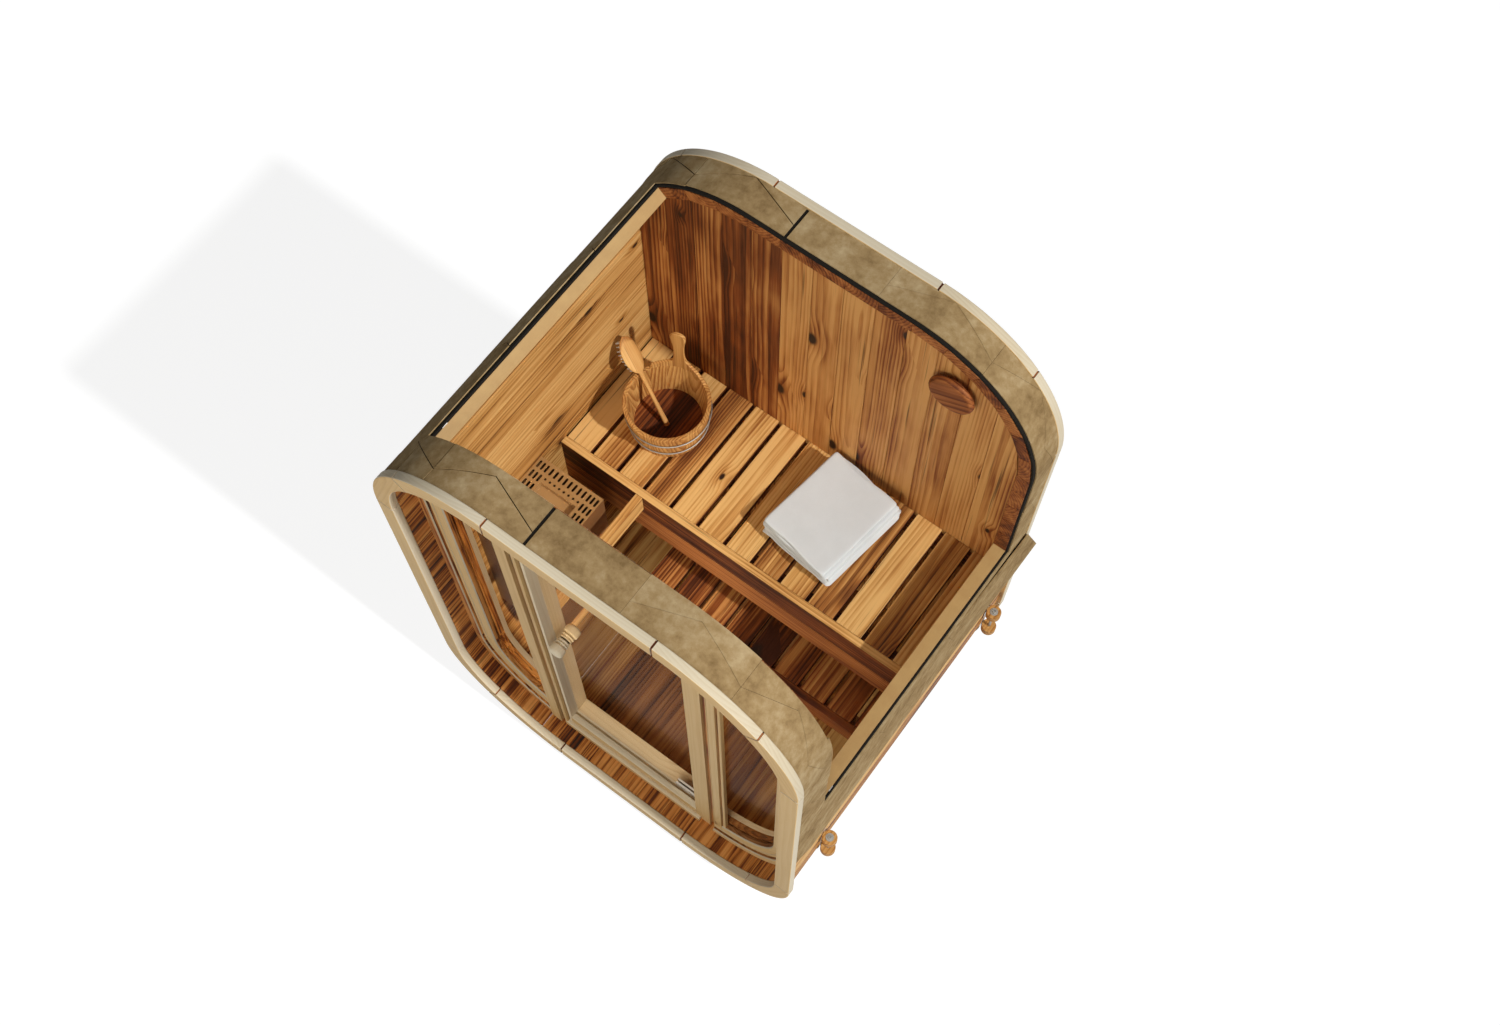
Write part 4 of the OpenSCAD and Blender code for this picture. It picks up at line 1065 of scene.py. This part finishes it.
# Felt under the shingles, its edge showing round the opening.
def makeFelt():
    stock = newStock()
    sheet = shingles["felt"]
    y0, y1 = staves["start"] + sheet["in"], staves["end"] - sheet["in"]
    low, high = -shingles["end"] + sheet["left"], shingles["rightEnd"] - sheet["right"]
    left, right = openLeft - sheet["edge"], openRight + sheet["edge"]
    parts = ((low, left, y0, y1), (left, right, y0, barrel["openFront"] - sheet["front"]),
             (left, right, barrel["openBack"] + sheet["edge"], y1), (right, high, y0, y1))
    for x0, x1, near, far in parts:
        flat = cutCorner([(x0, near), (x1, near), (x1, far), (x0, far)])
        addTab(stock, [flat], sheet["outer"], sheet["thick"])
    return makePiece("roofFelt", stock, [felt], ["roof_felt"])


makeShingles()
makeFelt()
print("roof covering made")

dressNode("stove_top", topEnamel)
dressNode("stove_casing", caseEnamel)
dressNode("bucket_hoops", dullSteel)
for node in ("door_pivots", "front_band", "rear_band"):
    dressNode(node, steel)

tension = {
    "x": 0.7627, "z": 0.442, "pitch": 0.14, "radius": 0.026, "height": 0.036, "chamfer": 0.003, "bolt": 0.005,
    "bands": (0.209, 1.191), "rodBelow": 0.012, "rodAbove": 0.006,
    "washer": ((0.005, 0), (0.014, 0), (0.0145, 0.001), (0.014, 0.002), (0.005, 0.002)),
    "nut": ((0.005, 0.002), (0.008, 0.002), (0.008, 0.008), (0.0072, 0.009), (0.005, 0.009)),
}


# Round wooden blocks in pairs on a threaded rod with washers and nuts.
def makeTensioners():
    blocks = newStock()
    rods = newStock()
    r, h, c, b = tension["radius"], tension["height"], tension["chamfer"], tension["bolt"]
    block = ((b, 0), (r - c, 0), (r - c * 0.3, c * 0.3), (r, c), (r, h - c), (r - c * 0.3, h - c * 0.3),
             (r - c, h), (b, h))
    low, high = -tension["rodBelow"], tension["pitch"] + h + tension["rodAbove"]
    rod = ((0, low), (b - 0.001, low), (b, low + 0.001), (b, high - 0.001), (b - 0.001, high), (0, high))
    for sx in (-1, 1):
        for y in tension["bands"]:
            foot = at(sx * tension["x"], y, tension["z"])
            for z in (0, tension["pitch"]):
                place = Matrix.Translation(foot + up * z)
                addSolid(blocks, lathe(block, place, 40), place.translation, yAxis, xAxis)
            addSolid(rods, lathe(rod, Matrix.Translation(foot), 20), foot, up, xAxis)
            for z, way in ((0.0, -1), (tension["pitch"] + h, 1)):
                place = Matrix.Translation(foot + up * z)
                for part, sides in (("washer", 32), ("nut", 6)):
                    profile = [(radius, way * height) for radius, height in tension[part]]
                    addSolid(rods, lathe(profile, place, sides), foot, up, xAxis)
    makePiece("tensionBlocks", blocks, [blockTimber], ["tensioners"])
    makePiece("tensionRods", rods, [dullSteel])


makeTensioners()
print("bands and tensioners made")

bucket = {
    "x": -0.4416, "y": 0.936, "topR": 0.147, "footR": 0.126, "height": 0.162, "wall": 0.015, "floorZ": 0.028,
    "floorT": 0.014, "staves": 14, "lip": 0.0022, "gripAt": 109, "gripR": 0.1425, "gripT": 0.0105,
    "gripSteps": 14, "joint": 0.004,
    "grip": (  # height over the rim, reach to the left and to the right
        (-0.03, 0.105, 0.12), (0.0, 0.105, 0.116), (0.008, 0.1045, 0.092), (0.0155, 0.102, 0.073),
        (0.0195, 0.09, 0.063), (0.0235, 0.06, 0.054), (0.0285, 0.04, 0.045), (0.036, 0.0285, 0.036),
        (0.046, 0.0235, 0.0285), (0.062, 0.021, 0.023), (0.082, 0.02, 0.0205), (0.11, 0.02, 0.02),
        (0.138, 0.021, 0.021), (0.162, 0.0245, 0.0245), (0.182, 0.0278, 0.0278), (0.196, 0.0285, 0.0285),
        (0.206, 0.0262, 0.0262), (0.2125, 0.0205, 0.0205), (0.216, 0.012, 0.012), (0.217, 0.004, 0.004)),
}


# Points between given points on a smooth curve.
def smoothLine(points, steps):
    line = []
    for k in range(len(points) - 1):
        a, b = points[max(k - 1, 0)], points[k]
        c, d = points[k + 1], points[min(k + 2, len(points) - 1)]
        for j in range(steps):
            t = j / steps
            line.append(tuple(0.5 * (2 * q + (r - p) * t + (2 * p - 5 * q + 4 * r - w) * t ** 2
                                     + (3 * q - p - 3 * r + w) * t ** 3) for p, q, r, w in zip(a, b, c, d)))
    return line + [points[-1]]


def bucketR(z):
    return bucket["footR"] + (bucket["topR"] - bucket["footR"]) * z / bucket["height"]


# Coopered bucket: tapered staves, a floor, and a broad back stave drawn up into a waisted grip.
def makeBucket():
    stock = newStock()
    base = at(bucket["x"], bucket["y"], bench["top"] + seat)
    step = 2 * math.pi / bucket["staves"]
    height, wall, lip, joint = bucket["height"], bucket["wall"], bucket["lip"], bucket["joint"]
    for k in range(bucket["staves"]):
        loops = []
        for z, ease in ((0.0, lip), (lip, 0.0), (bucket["floorZ"], 0.0), (height - lip, 0.0), (height, lip)):
            outerR = bucketR(z) - ease
            innerR = bucketR(z) - wall + ease
            angles = [k * step + step * (joint + (1 - 2 * joint) * j / 4) for j in range(5)]
            ring = [(outerR * math.cos(a), outerR * math.sin(a)) for a in angles]
            ring += [(innerR * math.cos(a), innerR * math.sin(a)) for a in reversed(angles)]
            loops.append([base + Vector((x, y, z)) for x, y in ring])
        bm = loft(loops)
        middle = sum((v.co for v in bm.verts), Vector()) / len(bm.verts)
        turn = (k + 0.5) * step
        addSolid(stock, bm, middle, up, Vector((-math.sin(turn), math.cos(turn), 0)))
    z1 = bucket["floorZ"]
    floorR = bucketR(z1) - wall + 0.001
    disc = [(0, z1 - bucket["floorT"]), (floorR, z1 - bucket["floorT"]), (floorR, z1), (0, z1)]
    # The bucket's floor is darkened with painted shade.
    addSolid(stock, lathe(disc, Matrix.Translation(base)), base, yAxis, xAxis,
             choose=lambda centre, normal: 1)
    outer, thick, steps = bucket["gripR"], bucket["gripT"], bucket["gripSteps"]
    middle = math.radians(bucket["gripAt"])
    loops = []
    for rise, left, right in smoothLine(bucket["grip"], 4):
        ease = min(left, right, 0.01) * 0.3
        flat = left + right - 2 * ease
        rows = [(ease - right + flat * j / steps, outer) for j in range(steps + 1)]
        rows.append((left, outer - thick / 2))
        rows += [(left - ease - flat * j / steps, outer - thick) for j in range(steps + 1)]
        rows.append((-right, outer - thick / 2))
        turned = [(middle + arc / outer, r) for arc, r in rows]
        loops.append([base + Vector((r * math.cos(a), r * math.sin(a), height + rise)) for a, r in turned])
    top = Vector((math.cos(middle), math.sin(middle), 0))
    addSolid(stock, loft(loops), base + top * (outer + 0.03) + up * height, up, up.cross(top), shade=0.3)
    return makePiece("washBucket", stock, [bucketTimber, paintedShadeTimber], ["bucket"], sharp=50)


brush = {
    "length": 0.34, "stick": 0.018, "headL": 0.138, "headW": 0.07, "headT": 0.017, "bristles": 0.02,
    "heading": 160.5, "roll": 12, "foot": (0.012, -0.022), "steps": 40, "sides": 20, "tuftRows": 9,
    "splay": 0.002,
}


# Width of the oval head at a share of its length, as a share of its full width.
def headOval(share):
    return math.sqrt(max(0.0, 1 - (2 * share - 1) ** 2))


# The stick leans from its foot on the bucket's floor to the bucket's lip.
def brushPlace():
    footX, footY = brush["foot"]
    heading = math.radians(brush["heading"])
    along = footX * math.cos(heading) + footY * math.sin(heading)
    aside = footY * math.cos(heading) - footX * math.sin(heading)
    mouth = bucket["topR"] - bucket["wall"]
    run = math.sqrt(mouth ** 2 - aside ** 2) - along
    footZ = bucket["floorZ"] + brush["stick"] / 2
    rise = bucket["height"] - footZ
    lean = math.acos((brush["stick"] / 2 + seat) / math.hypot(run, rise)) - math.atan2(rise, run)
    place = Matrix.Translation(at(bucket["x"] + footX, bucket["y"] + footY, bench["top"] + footZ))
    place = place @ Matrix.Rotation(heading, 4, "Z") @ Matrix.Rotation(lean, 4, "Y")
    return place @ Matrix.Rotation(math.radians(brush["roll"]), 4, "Z")


# Bath brush standing in the bucket: a waisted stick, an oval head and rows of bristles.
def makeBrush():
    stock = newStock()
    place = brushPlace()
    turn = place.to_3x3()
    total, headL, halfStick = brush["length"], brush["headL"], brush["stick"] / 2
    angles = [2 * math.pi * j / brush["sides"] for j in range(brush["sides"])]
    rows = []
    for k in range(brush["steps"] + 1):
        t = k / brush["steps"]
        h = total * t
        inHead = max(0.0, (h - (total - headL)) / headL)
        if inHead > 0:
            neck = max(0.0, 1 - inHead / 0.25)
            wide = max(brush["headW"] / 2 * headOval(inHead), halfStick * neck)
            thick = brush["headT"] / 2 * (1 - 0.35 * inHead)
        else:
            wide = halfStick * (0.9 + 0.1 * math.cos(2 * math.pi * t * 1.5))
            thick = wide
        wide = max(wide, 0.0015)
        thick = min(thick, max(wide, 0.004))
        rows.append([place @ Vector((thick * math.cos(a), wide * math.sin(a), h)) for a in angles])
    addSolid(stock, loft(rows), place.translation, turn @ up, turn @ yAxis)
    tufts = newStock()
    sixths = [math.pi * j / 3 for j in range(6)]
    for row in range(brush["tuftRows"]):
        for column in range(-3, 4):
            h = total - headL * (0.12 + 0.76 * row / (brush["tuftRows"] - 1))
            y = (brush["headW"] / 2 - 0.009) * headOval((h - (total - headL)) / headL) * column / 3
            splay = [draw.uniform(-brush["splay"], brush["splay"]) for _ in range(2)]
            root = Vector((brush["headT"] * 0.3, y, h))
            tip = Vector((brush["headT"] / 2 + brush["bristles"], y * 1.12 + splay[0], h + splay[1]))
            loops = []
            for point, radius in ((root, 0.0016), (tip, 0.0021)):
                ring = [Vector((0, radius * math.cos(a), radius * math.sin(a))) for a in sixths]
                loops.append([place @ (point + offset) for offset in ring])
            addSolid(tufts, loft(loops), place @ root, turn @ (tip - root), up)
    makePiece("bathBrush", stock, [honeyTimber], ["brush"])
    makePiece("brushBristles", tufts, [cotton])


makeBucket()
makeBrush()
print("bucket and brush made")

towel = {
    "flat": (0.71, 1.45), "width": 0.29, "length": 0.355, "height": 0.095, "turn": -8, "x": 0.212, "y": 0.958,
    "layers": 10, "cloth": 0.0076, "rows": 20, "step": 0.011, "stepAfter": 5, "corner": 0.009, "trim": 0.004,
    "wave": 0.001, "slackLeft": 0.007, "slackRight": 0.004, "sag": (-0.001, 0.0012), "spanSteps": 13,
    "bendSteps": 6,
}


# One long strip folded to and fro, its fold ends on the left and its lower half further out on the right.
def foldLine():
    pitch = towel["height"] / towel["layers"]
    half = towel["width"] / 2
    bend = pitch / 2
    line = []
    for k in range(towel["layers"]):
        z = pitch * (k + 0.5)
        right = half - bend - (towel["step"] if k > towel["stepAfter"] else 0.0)
        right -= draw.uniform(0, towel["slackRight"])
        left = -half + bend + draw.uniform(0, towel["slackLeft"])
        fold = left if k % 2 == 0 else right
        ways = (line[-1][0] if line else right, fold)
        sag = draw.uniform(*towel["sag"])
        for j in range(1 if line else 0, towel["spanSteps"] + 1):
            t = j / towel["spanSteps"]
            line.append((ways[0] + (ways[1] - ways[0]) * t, z + sag * math.sin(math.pi * t)))
        if k == towel["layers"] - 1:
            break
        side = -1 if k % 2 == 0 else 1
        for j in range(1, towel["bendSteps"] + 1):
            a = math.pi * j / towel["bendSteps"]
            line.append((fold + side * bend * 1.2 * math.sin(a), z + bend * (1 - math.cos(a))))
    return line


def makeTowel():
    line = foldLine()
    mesh = bpy.data.meshes.new("foldedTowel")
    turn = Matrix.Rotation(math.radians(towel["turn"]), 4, "Z")
    base = at(towel["x"], towel["y"], bench["top"] + 0.001)
    verts = []
    rows, length, rounding = towel["rows"], towel["length"], towel["corner"]
    for k, (x, z) in enumerate(line):
        ends = [0.004 * math.sin(k * 0.23 + s) + 0.003 * math.sin(k * 0.61 + 2 * s) for s in (0.4, 2.1)]
        corner = max(0.0, rounding - max(0.0, towel["width"] / 2 - abs(x)))
        trim = towel["trim"] + rounding - math.sqrt(rounding ** 2 - corner ** 2)
        for j in range(rows + 1):
            t = j / rows
            y = -length / 2 + trim + ends[0] + (length - 2 * trim + ends[1] - ends[0]) * t
            wave = towel["wave"] * math.sin(9 * t + 0.11 * k) * min(1.0, z / 0.03)  # flat near the bench
            verts.append(base + turn @ Vector((x, y, z + wave)))
    faces = []
    for k in range(len(line) - 1):
        for j in range(rows):
            a = k * (rows + 1) + j
            faces.append((a, a + 1, a + rows + 2, a + rows + 1))
    mesh.from_pydata([tuple(v) for v in verts], [], faces)
    mesh.materials.append(cotton)
    mesh.shade_smooth()
    piece = bpy.data.objects.new("foldedTowel", mesh)
    bpy.context.collection.objects.link(piece)
    body = piece.modifiers.new("cloth", "SOLIDIFY")
    body.thickness = towel["cloth"]
    body.offset = 0.0
    soft = piece.modifiers.new("softEdge", "SUBSURF")
    soft.levels = 1
    soft.render_levels = 1
    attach(piece, "barrel")
    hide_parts("towel")
    return piece


makeTowel()
print("towel made")

bearer = {"width": 0.095, "in": 0.33, "top": barrel["proud"] - 0.0002, "round": 0.003}
stock = newStock()
for y in (bearer["in"], barrel["depth"] - bearer["in"] - bearer["width"]):
    addBoard(stock, (-cornerX, y, -barrel["lift"]), (cornerX, y + bearer["width"], bearer["top"]), "x",
             bearer["round"])
makePiece("baseBearers", stock, [umberTimber], ["base_bearers"])

studio = {
    "sunFrom": (0.743, -0.012, 0.669), "sunPower": 2.85, "sunSize": 0.035, "sky": 0.09,
    "floorTone": 0.22, "floorGlow": 0.84, "floorSize": 30,
    "fillAt": (0.9, -4.9, 4.2), "fillTo": (0.0, -0.4, 1.0), "fillSize": 3.4, "fillPower": 146.0,
    "fillColour": (1.0, 0.97, 0.92),
    "camera": (1.322, -1.652, 6.501), "look": (-0.23089, 0.31305, -0.92124),
    "right": (0.80381, 0.59488, 0.00069), "lens": 42.8,
}


# 1 for rays from the camera, off metal and through glass, which see a white backdrop.
def backdropRays(tree):
    seen = addNode(tree, "LightPath").outputs
    beyond = calc(tree, "MAXIMUM", seen["Is Glossy Ray"], seen["Is Transmission Ray"])
    return calc(tree, "MAXIMUM", seen["Is Camera Ray"], beyond)


def makeFloor():
    bm = bmesh.new()
    bmesh.ops.create_grid(bm, x_segments=2, y_segments=2, size=studio["floorSize"])
    mesh = bpy.data.meshes.new("floor")
    bm.to_mesh(mesh)
    bm.free()
    finish, tree, inputs = newFinish("paleFloor", Roughness=1.0)
    tone = studio["floorTone"]
    inputs["Base Color"].default_value = (tone, tone, tone, 1)
    inputs["Emission Color"].default_value = (1, 1, 1, 1)
    glow = calc(tree, "MULTIPLY", backdropRays(tree), studio["floorGlow"])
    tree.links.new(glow, inputs["Emission Strength"])
    mesh.materials.append(finish)
    floor = bpy.data.objects.new("floor", mesh)
    bpy.context.collection.objects.link(floor)


def makeWorld():
    world = bpy.data.worlds.new("studio")
    bpy.context.scene.world = world
    world.use_nodes = True
    tree = world.node_tree
    background = tree.nodes["Background"]
    background.inputs["Color"].default_value = (1, 1, 1, 1)
    strength = calc(tree, "MAXIMUM", backdropRays(tree), studio["sky"])
    tree.links.new(strength, background.inputs["Strength"])


def addLamp(name, kind, power, facing):
    lamp = bpy.data.lights.new(name, kind)
    lamp.energy = power
    lamp.cycles.use_multiple_importance_sampling = False
    holder = bpy.data.objects.new(name, lamp)
    holder.rotation_euler = facing.to_track_quat("Z", "Y").to_euler()
    bpy.context.collection.objects.link(holder)
    return lamp, holder


def makeLights():
    key, _ = addLamp("keyLight", "SUN", studio["sunPower"], Vector(studio["sunFrom"]))
    key.angle = studio["sunSize"]
    fillAt = Vector(studio["fillAt"])
    fill, holder = addLamp("fillLight", "AREA", studio["fillPower"], fillAt - Vector(studio["fillTo"]))
    fill.size = studio["fillSize"]
    fill.color = studio["fillColour"]
    holder.location = fillAt


def makeCamera():
    data = bpy.data.cameras.new("camera")
    data.sensor_width = 36.0
    data.lens = studio["lens"]
    camera = bpy.data.objects.new("camera", data)
    look = Vector(studio["look"]).normalized()
    right = Vector(studio["right"])
    right = (right - right.dot(look) * look).normalized()
    turn = Matrix((right, right.cross(look), -look)).transposed()
    camera.matrix_world = Matrix.Translation(studio["camera"]) @ turn.to_4x4()
    bpy.context.collection.objects.link(camera)
    bpy.context.scene.camera = camera


makeFloor()
makeWorld()
makeLights()
makeCamera()
bpy.context.scene.view_settings.view_transform = "Standard"
print("studio made")
